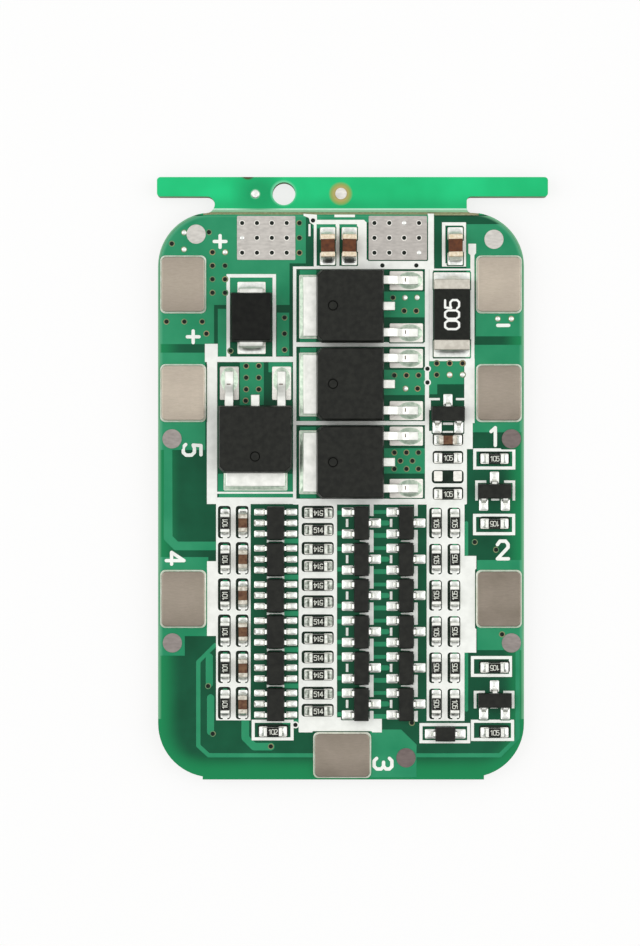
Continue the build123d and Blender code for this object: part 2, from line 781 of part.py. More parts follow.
def upper_print():
    """Frames and bars round the power transistors and the output parts."""
    fet_top = fet_column_top + print_gap
    left, right = fet_window_left, fet_window_right
    outer = field(left - print_line, row_top, right + print_line, fet_top + print_line)
    half_window = (fet_case_width + print_gap) / 2
    windows = [field(left, y - half_window, right, y + half_window) for y in fet_middles]
    charge_low = charge_fet_y - fet_case_length / 2 - fet_tab_land_out - print_gap
    charge_left = charge_fet_x - fet_case_width / 2 - charge_fet_gap
    bar_x = charge_left - print_bar
    charge_top = charge_fet_top + print_gap
    cap_top = output_capacitor_y + big_chip_length / 2 + big_chip_land_overhang + print_gap
    cap_low = output_capacitor_y - big_chip_length / 2 - big_chip_land_overhang - print_gap
    cap_room = big_chip_width / 2 + chip_land_side + print_gap
    caps_right = minus_capacitor_x + cap_room + print_bar
    caps = field(plus_capacitor_x - cap_room - print_line, cap_low, caps_right, cap_top)
    caps -= field(plus_capacitor_x - cap_room, cap_low, plus_capacitor_x + cap_room, cap_top)
    caps -= field(minus_capacitor_x - cap_room, cap_low, minus_capacitor_x + cap_room, cap_top)
    minus_low = output_land_y - output_land_height / 2 - print_gap
    minus_right = minus_land_x + output_land_width / 2 + print_gap
    shunt_frame = placed(shunt_lands(), shunt_x, shunt_y, 90)
    diode_land = placed(diode_lands(), diode_x, diode_y, 90)
    shunt_low = shunt_y - shunt_length / 2 - shunt_land_overhang - print_gap
    bar_left = shunt_x + shunt_width / 2 + print_gap + print_line
    return [
        outer - windows,
        field(charge_left, row_top, fet_window_left, charge_low),
        field(bar_x, row_top, charge_left, charge_top + print_bar),
        field(charge_left, charge_top, fet_window_left, charge_top + print_line * 1.5),
        caps,
        field(plus_capacitor_x - cap_room - print_line, cap_top, caps_right, cap_top + print_line),
        field(plus_capacitor_x - cap_room, cap_low - print_line, caps_right, cap_low),
        field(caps_right, fet_top + print_line, minus_right + print_bar, minus_low),
        field(minus_right, minus_low, minus_right + print_bar, top_edge - output_land_gap),
        frame_round(shunt_frame),
        frame_round(diode_land + [(diode_x, diode_y, diode_case_width, 0)]),
        frame_round(placed(big_chip_lands(), sense_capacitor_x, output_capacitor_y, 90)),
        field(bar_left, shunt_low, bar_left + print_line, output_capacitor_y),
        field(bar_left - print_bar / 2, control_rows[0], bar_left + print_bar / 2, shunt_low),
    ]


def control_print():
    """The field round the control chips and the frames of the lone small parts."""
    chip_reach = chip_length / 2 + chip_land_overhang + print_gap
    right = control_column_x + chip_reach + print_line
    parts = [
        field(fet_window_right, row_top, right, control_rows[0] + chip_width),
    ]
    for x, y, angle in bias_chips + [(reference_resistor_x, reference_resistor_y, 0)]:
        parts.append(frame_round(placed(chip_lands(), x, y, angle), frame_gap))
    diode_land = placed(small_diode_lands(), small_diode_x, small_diode_y, 0)
    parts.append(frame_round(diode_land + [(small_diode_x, small_diode_y, 0, small_diode_width)]))
    for x, y, angle in transistor_places[1:]:
        for side in (-1, 1):
            edge = x + side * (transistor_length / 2 + print_gap + print_line / 2)
            parts.append(Pos(edge, y) * Rectangle(print_line, transistor_width + 2 * print_line))
    return parts


def legend_print():
    """White print, kept clear of every land and hole."""
    plan = Sketch() + row_print() + upper_print() + control_print()
    clear = [patch(around(pair), print_gap) for pair in chip_footprints()]
    clear += [patch(land, print_gap) for land in case_footprints()]
    clear += [patch((x, y, 2 * via_radius, 2 * via_radius), print_gap) for x, y in all_vias()]
    clear += [Pos(x, y) * RegularPolygon(test_pad_radius + print_gap, round_sides) for x, y in test_pads]
    plan -= clear + tab_lands(print_gap)
    return Pos(0, 0, board_thickness) * extrude(plan, print_thickness)


def write(name, shape):
    shape.label = name
    export_step(shape, f"parts/{name}.step")


def together(parts):
    """Separate solids kept in one group."""
    return Compound([part.solid() for part in parts])


def main():
    os.makedirs("parts", exist_ok=True)
    write("circuit_board", circuit_board())
    write("tinned_lands", tinned_lands())
    write("legend_print", legend_print())
    for name, place in tab_places.items():
        write(name, seated(terminal_tab(), *place))
    leadframe = fet_leadframe()
    case = fet_case(leadframe)
    for name, place in fet_places.items():
        write(f"{name}_leadframe", seated(leadframe, *place))
        write(f"{name}_case", seated(case, *place))
    write("surge_diode", seated(surge_diode(), diode_x, diode_y, 90))
    write("shunt_element", seated(shunt_element(), shunt_x, shunt_y, 90))
    write("shunt_caps", seated(shunt_caps(), shunt_x, shunt_y, 90))
    for name, place in output_capacitors.items():
        write(name, seated(big_capacitor(), *place))
    for i, y in enumerate(row_places):
        write(f"cell_{i + 1}_monitor", seated(cell_monitor(), monitor_x, y, 0))
        write(f"cell_{i + 1}_first_transistor", seated(small_transistor(), first_transistor_x, y, 0))
        write(f"cell_{i + 1}_second_transistor", seated(small_transistor(), second_transistor_x, y, 0))
        write(f"cell_{i + 1}_capacitor", seated(capacitor(), filter_capacitor_x, y, 90))
        chips = [seated(resistor(), *place) for place in row_resistors(y)]
        write(f"cell_{i + 1}_resistors", together(chips))
    transistor_names = ("control_transistor", "upper_bias_transistor", "lower_bias_transistor")
    for name, place in zip(transistor_names, transistor_places):
        write(name, seated(small_transistor(), *place))
    write("control_capacitor", seated(capacitor(), control_column_x, control_rows[0], 0))
    write("polarity_diode", seated(small_diode(), small_diode_x, small_diode_y, 0))
    write("lone_resistors", together([seated(resistor(), *place) for place in lone_chips]))


main()
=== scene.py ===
import math

import bmesh
import bpy
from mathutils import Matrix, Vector
from mathutils.geometry import delaunay_2d_cdt


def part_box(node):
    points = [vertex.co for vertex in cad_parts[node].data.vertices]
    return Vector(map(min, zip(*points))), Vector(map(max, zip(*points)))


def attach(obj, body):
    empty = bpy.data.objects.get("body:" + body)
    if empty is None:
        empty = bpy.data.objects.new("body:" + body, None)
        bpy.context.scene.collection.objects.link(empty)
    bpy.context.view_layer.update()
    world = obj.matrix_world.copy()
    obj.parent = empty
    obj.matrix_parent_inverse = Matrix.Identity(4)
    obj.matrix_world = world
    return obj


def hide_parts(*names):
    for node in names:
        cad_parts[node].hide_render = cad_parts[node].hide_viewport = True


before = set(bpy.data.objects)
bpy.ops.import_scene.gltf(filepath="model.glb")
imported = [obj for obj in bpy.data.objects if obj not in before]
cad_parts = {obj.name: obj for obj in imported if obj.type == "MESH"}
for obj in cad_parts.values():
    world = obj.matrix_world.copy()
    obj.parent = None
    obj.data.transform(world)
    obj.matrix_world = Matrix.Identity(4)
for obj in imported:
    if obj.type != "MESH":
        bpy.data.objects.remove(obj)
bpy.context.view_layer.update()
millimetre = 0.001
print("frame loaded:", len(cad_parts), "nodes")

# Photograph: how its picture lies on the board, in mm
photo = {
    "pixelsPerMm": 11.44,
    "originPixel": (341.0, 496.0),  # the pixel over the middle of the board
    "middle": (-1.84, 2.01),  # the point in the middle of the picture
    "viewHeight": 82.75,  # at the board's top
}

# Board: its sizes and those of the copper under its mask, in mm
board = {
    "top": 1.6, "halfSize": (16.0, 24.8), "cornerRadius": 4.7,
    "copperEdge": (15.99, 24.78), "edgeClear": 0.2,  # copper stays this far inside the routed edge
    "copperHigh": 1.622, "copperLean": 0.05, "holeClear": 0.2,
    "sheetLow": 1.59,  # underside of every thin sheet, sunk in the laminate
    "partFoot": 1.66,  # where the parts stand, on their lands
    "field": (4.6, 4.2, 20),  # an output field is wider than this, less deep, and lies above this
}
cellRows = (523, 559.2, 595.6, 631.8, 668, 704.1)  # the cells' case rows, in pixels


def fromPhoto(x, y):
    scale = photo["pixelsPerMm"]
    return ((x - photo["originPixel"][0]) / scale, (photo["originPixel"][1] - y) / scale)


def metres(*sizes):
    return tuple(size * millimetre for size in sizes)


def sceneObject(name, data):
    item = bpy.data.objects.new(name, data)
    bpy.context.scene.collection.objects.link(item)
    return item


# Camera: straight above the board
camera = {"lens": 125.0, "sensor": 36.0, "near": 0.01, "far": 5.0}
cameraData = bpy.data.cameras.new("camera")
cameraData.sensor_fit = "VERTICAL"
cameraData.sensor_height = camera["sensor"]
cameraData.lens = camera["lens"]
cameraData.clip_start, cameraData.clip_end = camera["near"], camera["far"]
cameraHeight = photo["viewHeight"] * camera["lens"] / camera["sensor"] + board["top"]
cameraObject = sceneObject("camera", cameraData)
cameraObject.location = metres(*photo["middle"], cameraHeight)
bpy.context.scene.camera = cameraObject
print("camera set", round(cameraHeight), "mm above the floor")


def srgb(code, alpha=1.0):
    # a hex colour as it looks on a screen, turned to linear light
    channels = []
    for i in (1, 3, 5):
        value = int(code[i:i + 2], 16) / 255
        channels.append(value / 12.92 if value <= 0.04045 else ((value + 0.055) / 1.055) ** 2.4)
    return (*channels, alpha)


def feed(tree, socket, value):
    # gives a socket a link, a hex colour or a plain value
    if isinstance(value, bpy.types.NodeSocket):
        tree.links.new(value, socket)
    else:
        isColour = isinstance(value, str) and value.startswith("#")
        socket.default_value = srgb(value) if isColour else value


def addNode(tree, kind, sockets=(), **settings):
    # one node with its settings, and what goes into its sockets
    node = tree.nodes.new(kind)
    for name, value in settings.items():
        setattr(node, name, value)
    for name, value in dict(sockets).items():
        feed(tree, node.inputs[name], value)
    return node


def maths(tree, operation, *values):
    return addNode(tree, "ShaderNodeMath", enumerate(values), operation=operation).outputs[0]


def vectors(tree, operation, *values):
    return addNode(tree, "ShaderNodeVectorMath", enumerate(values), operation=operation).outputs


def remap(tree, value, *limits, smooth=False):
    # a value from two limits to 0 and 1, or to two more limits
    sockets = zip(("Value", "From Min", "From Max", "To Min", "To Max"), (value, *limits))
    kind = "SMOOTHSTEP" if smooth else "LINEAR"
    return addNode(tree, "ShaderNodeMapRange", sockets, interpolation_type=kind).outputs["Result"]


def colourMix(tree, factor, first, second):
    return addNode(tree, "ShaderNodeMix", {0: factor, 6: first, 7: second}, data_type="RGBA").outputs[2]


def scaled(tree, colour, factor):
    sockets = {0: colour, "Scale": factor}
    return addNode(tree, "ShaderNodeVectorMath", sockets, operation="SCALE").outputs[0]


def stretched(tree, place, times):
    # the place drawn out along X, by squeezing Y
    return addNode(tree, "ShaderNodeMapping", {"Vector": place, "Scale": (1.0, times, 1.0)}).outputs[0]


def attribute(tree, name):
    return addNode(tree, "ShaderNodeAttribute", attribute_name=name).outputs["Fac"]


def noise(tree, place, sizeMm, detail=2.0, rough=0.5):
    sockets = {"Vector": place, "Scale": 1 / (sizeMm * millimetre), "Detail": detail, "Roughness": rough}
    return addNode(tree, "ShaderNodeTexNoise", sockets).outputs["Fac"]


def cloud(tree, place, sizeMm, low=0.35, high=0.65, detail=3.0):
    # cloudy 0..1 factor whose blotches are about sizeMm wide
    return remap(tree, noise(tree, place, sizeMm, detail), low, high)


def bumpFrom(tree, shader, height, depthMm, strength):
    sockets = {"Height": height, "Strength": strength, "Distance": depthMm * millimetre}
    feed(tree, shader.inputs["Normal"], addNode(tree, "ShaderNodeBump", sockets).outputs["Normal"])


def newMaterial(name, values):
    # a material with its Principled shader, the values on the shader's own sockets
    material = bpy.data.materials.new(name)
    material.use_nodes = True
    tree = material.node_tree
    shader = tree.nodes["Principled BSDF"]
    for key, value in values.items():
        feed(tree, shader.inputs[key], value)
    return material, tree, shader, addNode(tree, "ShaderNodeTexCoord").outputs["Object"]


# Materials
maskColours = {
    "laminate": {
        "roughness": 0.16, "deep": "#06482e", "light": "#0f5a3c",
        # start, end and two tones of each band of painted light along Y
        "paintedLightBands": [(24.4, 24.9, "#17a566", "#1fb873"), (25.1, 26.6, "#19b870", "#22cd82"),
                  (-22.2, -24.6, "#12824b", "#168a52")],
        # middle, width and tone of each narrow strip along X: a dark strip below the score groove, and a painted
        # highlight on the groove's rail side
        "lines": [(24.5, 0.12, "#123f2b"), (25.09, 0.12, "#c0f0d4")],
        # place, radius, softness and tone of each round mark in the rail: a darker patch round the filled hole,
        # the fiducial's two rings, the bite mark, and a painted glow round the filled hole and round the tooling
        # hole
        "spots": [(-7.2, 26.4, 1.75, 0.5, "#17a063"), (-0.03, 26.44, 0.95, 0.12, "#93a85a"),
                  (-0.03, 26.44, 0.72, 0.12, "#b3a766"), (-8.15, 28.42, 0.72, 0.12, "#4a3c20"),
                  (-7.5, 26.41, 0.42, 0.12, "#7fce9f"), (-5.03, 26.49, 1.07, 0.12, "#7fd8ab")],
        # start and end inside the outline, middle and reach along Y, and tone of each edge painted with a glow,
        # for light let through the board's edge
        "edges": [(2.1, 0.1, -5.0, 25.0, "#158450"), (0.34, 0.05, 2.5, 22.0, "#6fae86")],
    },
    "copper": {
        "roughness": 0.15, "deep": "#1f875c", "light": "#32966a", "paintedLightBands": [], "lines": [], "spots": [],
        # painted glow along the board's edge, as over the laminate
        "edges": [(0.5, 0.05, 2.5, 22.0, "#5fb088")],
    },
    "faceDepth": 0.015, "sawn": ("#a39c78", "#c2b898"), "score": 24.97, "scoreReach": 0.13, "scoreWallGlow": "#b0eac6",
    "railFoot": 25.12, "railWallGlow": "#a9c79b",
}


def solderMask(name, values):
    # photo-imaged epoxy solder mask: wet gloss with a faint orange peel, colour set by what lies under it
    material, tree, shader, place = newMaterial(
        name, {"Roughness": values["roughness"], "IOR": 1.52, "Specular IOR Level": 0.15}
    )
    slow = cloud(tree, place, 7.0)
    colour = colourMix(tree, cloud(tree, place, 3.5, 0.3, 0.7), values["deep"], values["light"])
    split = addNode(tree, "ShaderNodeSeparateXYZ", {"Vector": place}).outputs
    for start, end, tint, other in values["paintedLightBands"]:
        # painted light: bare laminate near the ends of the board lets light through, so it is painted a brighter
        # green
        band = remap(tree, split["Y"], *metres(start, end), smooth=True)
        colour = colourMix(tree, band, colour, colourMix(tree, slow, tint, other))
    # the dark strip and the painted highlight by the score groove
    for middle, width, tint in values["lines"]:
        away = maths(tree, "ABSOLUTE", maths(tree, "SUBTRACT", split["Y"], middle * millimetre))
        strip = remap(tree, away, *metres(width * 0.65, width * 0.35))
        colour = colourMix(tree, strip, colour, tint)
    # round marks, among them the painted glow round two rail holes
    for x, y, radius, soft, tint in values["spots"]:
        reach = vectors(tree, "DISTANCE", place, metres(x, y, board["top"]))["Value"]
        spot = remap(tree, reach, *metres(radius * (1 + soft), radius * (1 - soft)))
        colour = colourMix(tree, spot, colour, tint)
    # how far inside the routed outline a point lies, round the corners too
    radius = board["cornerRadius"]
    straight = (*metres(*(half - radius for half in board["halfSize"])), 1.0)
    past = vectors(tree, "SUBTRACT", vectors(tree, "ABSOLUTE", place)[0], straight)[0]
    reach = vectors(tree, "LENGTH", vectors(tree, "MAXIMUM", past, (0.0, 0.0, 0.0))[0])["Value"]
    # the painted glow along the edges
    for inside, outside, centre, span, tint in values["edges"]:
        share = remap(tree, reach, *metres(radius - inside, radius - outside), smooth=True)
        along = maths(tree, "COMPARE", split["Y"], *metres(centre, span))
        colour = colourMix(tree, maths(tree, "MULTIPLY", share, along), colour, tint)
    # sawn glass cloth and resin on the walls
    upper = maths(tree, "GREATER_THAN", split["Z"], (board["top"] - maskColours["faceDepth"]) * millimetre)
    lower = maths(tree, "LESS_THAN", split["Z"], maskColours["faceDepth"] * millimetre)
    cut = colourMix(tree, cloud(tree, place, 0.25, 0.3, 0.7), *maskColours["sawn"])
    # painted light: the walls by the score groove and the rail's walls get a pale green glow in place of the sawn
    # tone
    offScore = maths(tree, "ABSOLUTE", maths(tree, "SUBTRACT", split["Y"], maskColours["score"] * millimetre))
    railSide = maths(tree, "LESS_THAN", offScore, maskColours["scoreReach"] * millimetre)
    cut = colourMix(tree, railSide, cut, maskColours["scoreWallGlow"])  # lit by what the rail lets through
    beyond = maths(tree, "GREATER_THAN", split["Y"], maskColours["railFoot"] * millimetre)
    cut = colourMix(tree, beyond, cut, maskColours["railWallGlow"])
    colour = colourMix(tree, maths(tree, "ADD", upper, lower), cut, colour)
    feed(tree, shader.inputs["Base Color"], colour)
    bumpFrom(tree, shader, noise(tree, place, 0.5), 0.01, 0.25)
    return material


laminateMask = solderMask("solder mask over bare laminate", maskColours["laminate"])
copperMask = solderMask("solder mask over copper", maskColours["copper"])


def mottled(name, roughness, tones, blotch, grain=(), metallic=0.0, index=1.5, specular=0.5):
    # two tones in blotches, blotch mm wide, and a grain given as its size and depth in mm and its strength
    values = {"Roughness": roughness, "Metallic": metallic, "IOR": index, "Specular IOR Level": specular}
    material, tree, shader, place = newMaterial(name, values)
    feed(tree, shader.inputs["Base Color"], colourMix(tree, cloud(tree, place, blotch), *tones))
    if grain:
        bumpFrom(tree, shader, noise(tree, place, grain[0]), *grain[1:])
    return material


# white legend ink, screened: matt, slightly thin in places so the green greys it
whiteInk = mottled("screened white ink", 0.6, ("#f0f2ec", "#f8faf4"), 0.6, (0.12, 0.008, 0.4), index=1.45)

# the code on a chip resistor: cream, thinner than the board's print
codeInk = mottled("printed chip code", 0.55, ("#d3d6ca", "#e8eadf"), 0.3, specular=0.3)

# hot-air levelled tin: bright and uneven, clouded where it froze, greyer where a land is painted darker, round the
# power transistors as painted shade
levelledTin, tree, shader, place = newMaterial("hot-air levelled tin", {"Metallic": 1.0})
frozen = cloud(tree, stretched(tree, place, 2.6), 0.5, 0.25, 0.75, 6.0)
tone = colourMix(tree, attribute(tree, "darkening"), "#ebe9e1", "#756a67")
feed(tree, shader.inputs["Base Color"], scaled(tree, tone, remap(tree, frozen, 0.0, 1.0, 0.83, 1.11)))
feed(tree, shader.inputs["Roughness"], remap(tree, frozen, 0.0, 1.0, 0.32, 0.42))
bumpFrom(tree, shader, noise(tree, place, 0.35), 0.012, 0.3)

# reflowed solder: smooth, silvery, a little frosted
frost = (0.1, 0.006, 0.4)
solder = mottled("reflowed solder", 0.3, ("#dcdfd9", "#f3f4ef"), 0.35, frost, 1.0)

# solder under a power transistor's feet: painted greener and duller, as painted shade round the case
jointSolder = mottled("shaded joint solder", 0.36, ("#9db09e", "#c0cdbc"), 0.35, frost, 1.0)

# painted reflection: a small dark brown mark in the crook of a bent lead, where the bend reflects dark
creaseReflection = mottled("painted dark reflection in a lead's crook", 0.5, ("#4f4139", "#83756a"), 0.1, specular=0.2)

# solder bead round a welded tab: cream, half hidden by flux
beadSolder = mottled("fluxed solder bead", 0.4, ("#e4e6d4", "#fafaf0"), 0.5, metallic=0.3)

# matt tin plate on formed leads: paler and flatter than solder
satin = (0.08, 0.005, 0.4)
tinPlate = mottled("matt tin plate", 0.38, ("#dedfd8", "#f0f0ea"), 0.7, satin, 1.0)

# the same plate and its solder under a skin of flux: greyer, in specks
fluxedPlate = mottled("fluxed tin plate", 0.42, ("#c0c4ba", "#ebede5"), 0.3, satin, 1.0)
fluxedSolder = mottled("fluxed solder", 0.38, ("#7f877c", "#ced2c9"), 0.25, frost, 1.0)

# barrel-plated ends of the shunt: warm grey, rubbed dull
shuntPlate = mottled("barrel-plated tin", 0.42, ("#b8b3a8", "#c9c5ba"), 0.4, (0.08, 0.006, 0.4), 1.0)

# rolled nickel strip: warm grey satin, painted darker towards the tab's head and most at its foot as painted
# shade, its rolling lines coarser than real so that they show
nickel, tree, shader, place = newMaterial("rolled nickel strip", {"Metallic": 1.0, "Roughness": 0.34})
rolling = noise(tree, stretched(tree, place, 5.0), 0.45, 6.0, 0.7)
across = attribute(tree, "across")
# painted shade: darker towards both ends of the tab, most at the foot
toEnds = maths(tree, "MULTIPLY", across, across)
endShadeAndDarkening = maths(tree, "MULTIPLY_ADD", toEnds, 0.24, attribute(tree, "darkening"))
tone = colourMix(tree, maths(tree, "MULTIPLY_ADD", across, -0.08, endShadeAndDarkening), "#bfb4a4", "#7d7468")
pale = colourMix(tree, cloud(tree, place, 2.2, 0.3, 0.7), tone, "#a1958a")
streak = remap(tree, rolling, 0.3, 0.7, 0.9, 1.07)
feed(tree, shader.inputs["Base Color"], scaled(tree, colourMix(tree, 0.35, tone, pale), streak))
bumpFrom(tree, shader, rolling, 0.01, 0.3)

# transfer-moulded epoxy: black with silica filler, dull spark-eroded grain
sparkGrain = (0.09, 0.012, 0.5)
mouldedEpoxy = mottled("transfer-moulded epoxy", 0.46, ("#1d1e1b", "#272824"), 0.5, sparkGrain,
                       index=1.55, specular=0.12)

# the surge diode's epoxy: more carbon black, so deeper
deepEpoxy = mottled("carbon-filled epoxy", 0.46, ("#10110f", "#191a17"), 0.5, sparkGrain,
                    index=1.55, specular=0.1)

# painted shade in the ejector pin's mark: a nearly black ring of epoxy tone
pinMark = mottled("painted shade in the pin mark", 0.6, ("#0b0c0a", "#131412"), 0.2, specular=0.03)

# fired resistor glaze: near-black glass over the resistive film
glaze = mottled("fired resistor glaze", 0.3, ("#151713", "#1e201b"), 0.3, index=1.52, specular=0.15)

# alumina substrate: dense white ceramic, a pale line at a resistor's edges
alumina = mottled("sintered alumina", 0.5, ("#d5d6cf", "#e6e6e0"), 0.3, index=1.7)

# fired barium titanate: red brown ceramic, satin
titanate = mottled("fired barium titanate", 0.42, ("#4c2712", "#683a1c"), 0.4, index=1.6, specular=0.2)

# tinned termination of a ceramic capacitor: warm, dull, the fired ceramic tints it
capPlate = mottled("fired tin termination", 0.42, ("#d3c09f", "#eadfcb"), 0.25, metallic=0.6)

# the small ones' ends, dulled by flux, and their greyer ceramic
dullPlate = mottled("fluxed tin termination", 0.42, ("#aca697", "#ded9cc"), 0.25, metallic=0.6)
greyTitanate = mottled("fired titanate of a greyer batch", 0.45, ("#553526", "#77583f"), 0.4, specular=0.2)

# painted shade: a black plug, sunk and a little shiny, fills each open plated hole, where the hole shows dark
openHoleShade = mottled("painted shade in an open hole", 0.35, ("#0b100c", "#18241b"), 0.2, specular=0.15)

# hole rim where the mask has drawn thin over copper: green to tan from hole to hole
thinMask = mottled("mask thinned over copper", 0.25, ("#4f8f62", "#b59c70"), 1.2)

# painted shadow: a nearly black green sheet between the print and a chip, in each chip's window
windowShadow = mottled("painted shadow in a chip window", 0.2, ("#0f1d15", "#1b3023"), 0.8, index=1.52, specular=0.15)
print("materials made:", len(bpy.data.materials))


# Reading the frame
def islandBoxes(nodeName):
    # lowest and highest corner, in mm, of each separate solid of a CAD node
    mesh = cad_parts[nodeName].data
    keys = [tuple(round(c * 1e6) for c in vertex.co) for vertex in mesh.vertices]
    parent = {key: key for key in keys}

    def root(key):
        while parent[key] != key:
            parent[key] = parent[parent[key]]
            key = parent[key]
        return key

    for polygon in mesh.polygons:
        first = root(keys[polygon.vertices[0]])
        for index in polygon.vertices[1:]:
            parent[root(keys[index])] = first
    boxes = {}
    for key in parent:
        box = boxes.setdefault(root(key), [list(key), list(key)])
        for axis in range(3):
            box[0][axis] = min(box[0][axis], key[axis])
            box[1][axis] = max(box[1][axis], key[axis])
    return sorted([[c / 1000 for c in low], [c / 1000 for c in high]] for low, high in boxes.values())


def firstBoxes(nodeNames):
    return [islandBoxes(name)[0] for name in nodeNames]


def drilledHoles(limit):
    # middles, in mm, of the small six-cornered holes: top corners of the laminate that stand close together
    top = {
        (round(v.co.x * 1e6), round(v.co.y * 1e6))
        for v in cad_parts["circuit_board"].data.vertices
        if abs(v.co.z * 1000 - board["top"]) < 0.01
    }
    groups = []
    for x, y in sorted(top):
        for group in groups:
            if abs(group[0][0] - x) < limit * 1000 and abs(group[0][1] - y) < limit * 1000:
                group.append((x, y))
                break
        else:
            groups.append([(x, y)])
    return [tuple(sum(p[axis] for p in group) / 6000 for axis in (0, 1)) for group in groups if len(group) == 6]


def middleOf(box):
    return ((box[0][0] + box[1][0]) / 2, (box[0][1] + box[1][1]) / 2)


def sizeOf(box):
    return [high - low for low, high in zip(*box)]


def standing(boxes, alongY=False):
    # where each part stands: its middle, its underside and its turn, a quarter if its length runs the other way
    return [
        (*middleOf(box), board["partFoot"], 0.0 if (sizeOf(box)[1] > sizeOf(box)[0]) == alongY else math.pi / 2)
        for box in boxes
    ]


# Flat outlines, in mm
def roundedRect(x0, y0, x1, y1, radius=0.0, steps=4):
    x0, x1 = sorted((x0, x1))
    y0, y1 = sorted((y0, y1))
    radius = min(radius, (x1 - x0) / 2, (y1 - y0) / 2)
    if radius <= 0:
        return [(x0, y0), (x1, y0), (x1, y1), (x0, y1)]
    points = []
    corners = ((x1 - radius, y0 + radius, -90), (x1 - radius, y1 - radius, 0),
               (x0 + radius, y1 - radius, 90), (x0 + radius, y0 + radius, 180))
    for cx, cy, start in corners:
        for step in range(steps + 1):
            angle = math.radians(start + 90 * step / steps)
            points.append((cx + radius * math.cos(angle), cy + radius * math.sin(angle)))
    return points


def boxRect(box, left, foot, right, head, radius, steps=4):
    # a box's outline with room left at each side
    (x0, y0), (x1, y1) = box[0][:2], box[1][:2]
    return roundedRect(x0 - left, y0 - foot, x1 + right, y1 + head, radius, steps)


def disc(x, y, radius, sides=16):
    angles = [2 * math.pi * i / sides for i in range(sides)]
    return [(x + radius * math.cos(angle), y + radius * math.sin(angle)) for angle in angles]


def photoRect(x0, y0, x1, y1, radius=0.0):
    return roundedRect(*fromPhoto(x0, y0), *fromPhoto(x1, y1), radius)


def photoShape(*pixels):
    return [fromPhoto(x, y) for x, y in pixels]


def photoShapes(items):
    # rectangles given as x0, y0, x1, y1 and outlines given as corners, all in pixels
    return [photoShape(*item) if isinstance(item[0], tuple) else photoRect(*item) for item in items]


def track(points, width):
    # a copper track along points, with round elbows
    pieces = [disc(x, y, width / 2, 12) for x, y in points]
    for (ax, ay), (bx, by) in zip(points, points[1:]):
        along = Vector((bx - ax, by - ay))
        side = Vector((-along.y, along.x)).normalized() * width / 2
        pieces.append([(ax - side.x, ay - side.y), (bx - side.x, by - side.y),
                       (bx + side.x, by + side.y), (ax + side.x, ay + side.y)])
    return pieces


def isNear(place, others, reach):
    return any(math.hypot(place[0] - other[0], place[1] - other[1]) < reach for other in others)


def isInside(place, boxes, reach):
    # whether a place lies in one of the boxes, or within reach of it
    return any(all(low[i] - reach < place[i] < high[i] + reach for i in (0, 1)) for low, high in boxes)


def signedArea(points):
    return sum(a[0] * b[1] - b[0] * a[1] for a, b in zip(points, points[1:] + points[:1])) / 2


def addObject(name, mesh, materials=(), replaced=()):
    # a finished piece: its place is in its mesh, it rides on the board and may stand for CAD nodes
    item = sceneObject(name, mesh)
    for material in materials:
        mesh.materials.append(material)
    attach(item, "root")
    if replaced:
        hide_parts(*replaced)
    print(name.replace("_", " ") + ":", len(mesh.polygons), "faces")


def flatLayer(name, shapes, holes, low, high, slope=0.0, within=()):
    # a thin closed sheet: inside any shape, outside every hole; its walls lean out by slope
    points, faces = [], []
    for outline in [list(shape) for shape in [*shapes, *holes, *within]]:
        if signedArea(outline) < 0:
            outline.reverse()
        faces.append(list(range(len(points), len(points) + len(outline))))
        points += [Vector(p) for p in outline]
    found = delaunay_2d_cdt(points, [], faces, 0, 1e-5, True)
    corners, triangles, origins = found[0], found[2], found[5]
    shapeEnd = len(shapes)
    holeEnd = shapeEnd + len(holes)
    kept = [
        triangle for triangle, origin in zip(triangles, origins)
        if any(i < shapeEnd for i in origin) and not any(shapeEnd <= i < holeEnd for i in origin)
        and (not within or any(i >= holeEnd for i in origin))
    ]
    edges = {(triangle[i], triangle[(i + 1) % 3]) for triangle in kept for i in range(3)}
    rim = [(a, b) for a, b in edges if (b, a) not in edges]
    lean = {}
    for a, b in rim:
        along = corners[b] - corners[a]
        if along.length > 1e-9:
            outward = Vector((along.y, -along.x)).normalized()
            for index in (a, b):
                lean.setdefault(index, []).append(outward)
    bm = bmesh.new()
    upper, lower = {}, {}
    for index in sorted({i for t in kept for i in t}):
        x, y = corners[index]
        upper[index] = bm.verts.new(metres(x, y, high))
        if index in lean and slope:
            push = sum(lean[index], Vector((0, 0)))
            if push.length > 1e-6:
                push = push.normalized() * slope
            x, y = x + push.x, y + push.y
        lower[index] = bm.verts.new(metres(x, y, low))
    for triangle in kept:
        bm.faces.new([upper[i] for i in triangle])
        bm.faces.new([lower[i] for i in reversed(triangle)])
    for a, b in rim:
        bm.faces.new([lower[a], lower[b], upper[b], upper[a]])
    bmesh.ops.dissolve_limit(
        bm, angle_limit=math.radians(0.5), verts=bm.verts, edges=bm.edges, delimit={"NORMAL"}
    )
    bmesh.ops.triangulate(bm, faces=bm.faces)
    mesh = bpy.data.meshes.new(name)
    bm.to_mesh(mesh)
    bm.free()
    return mesh


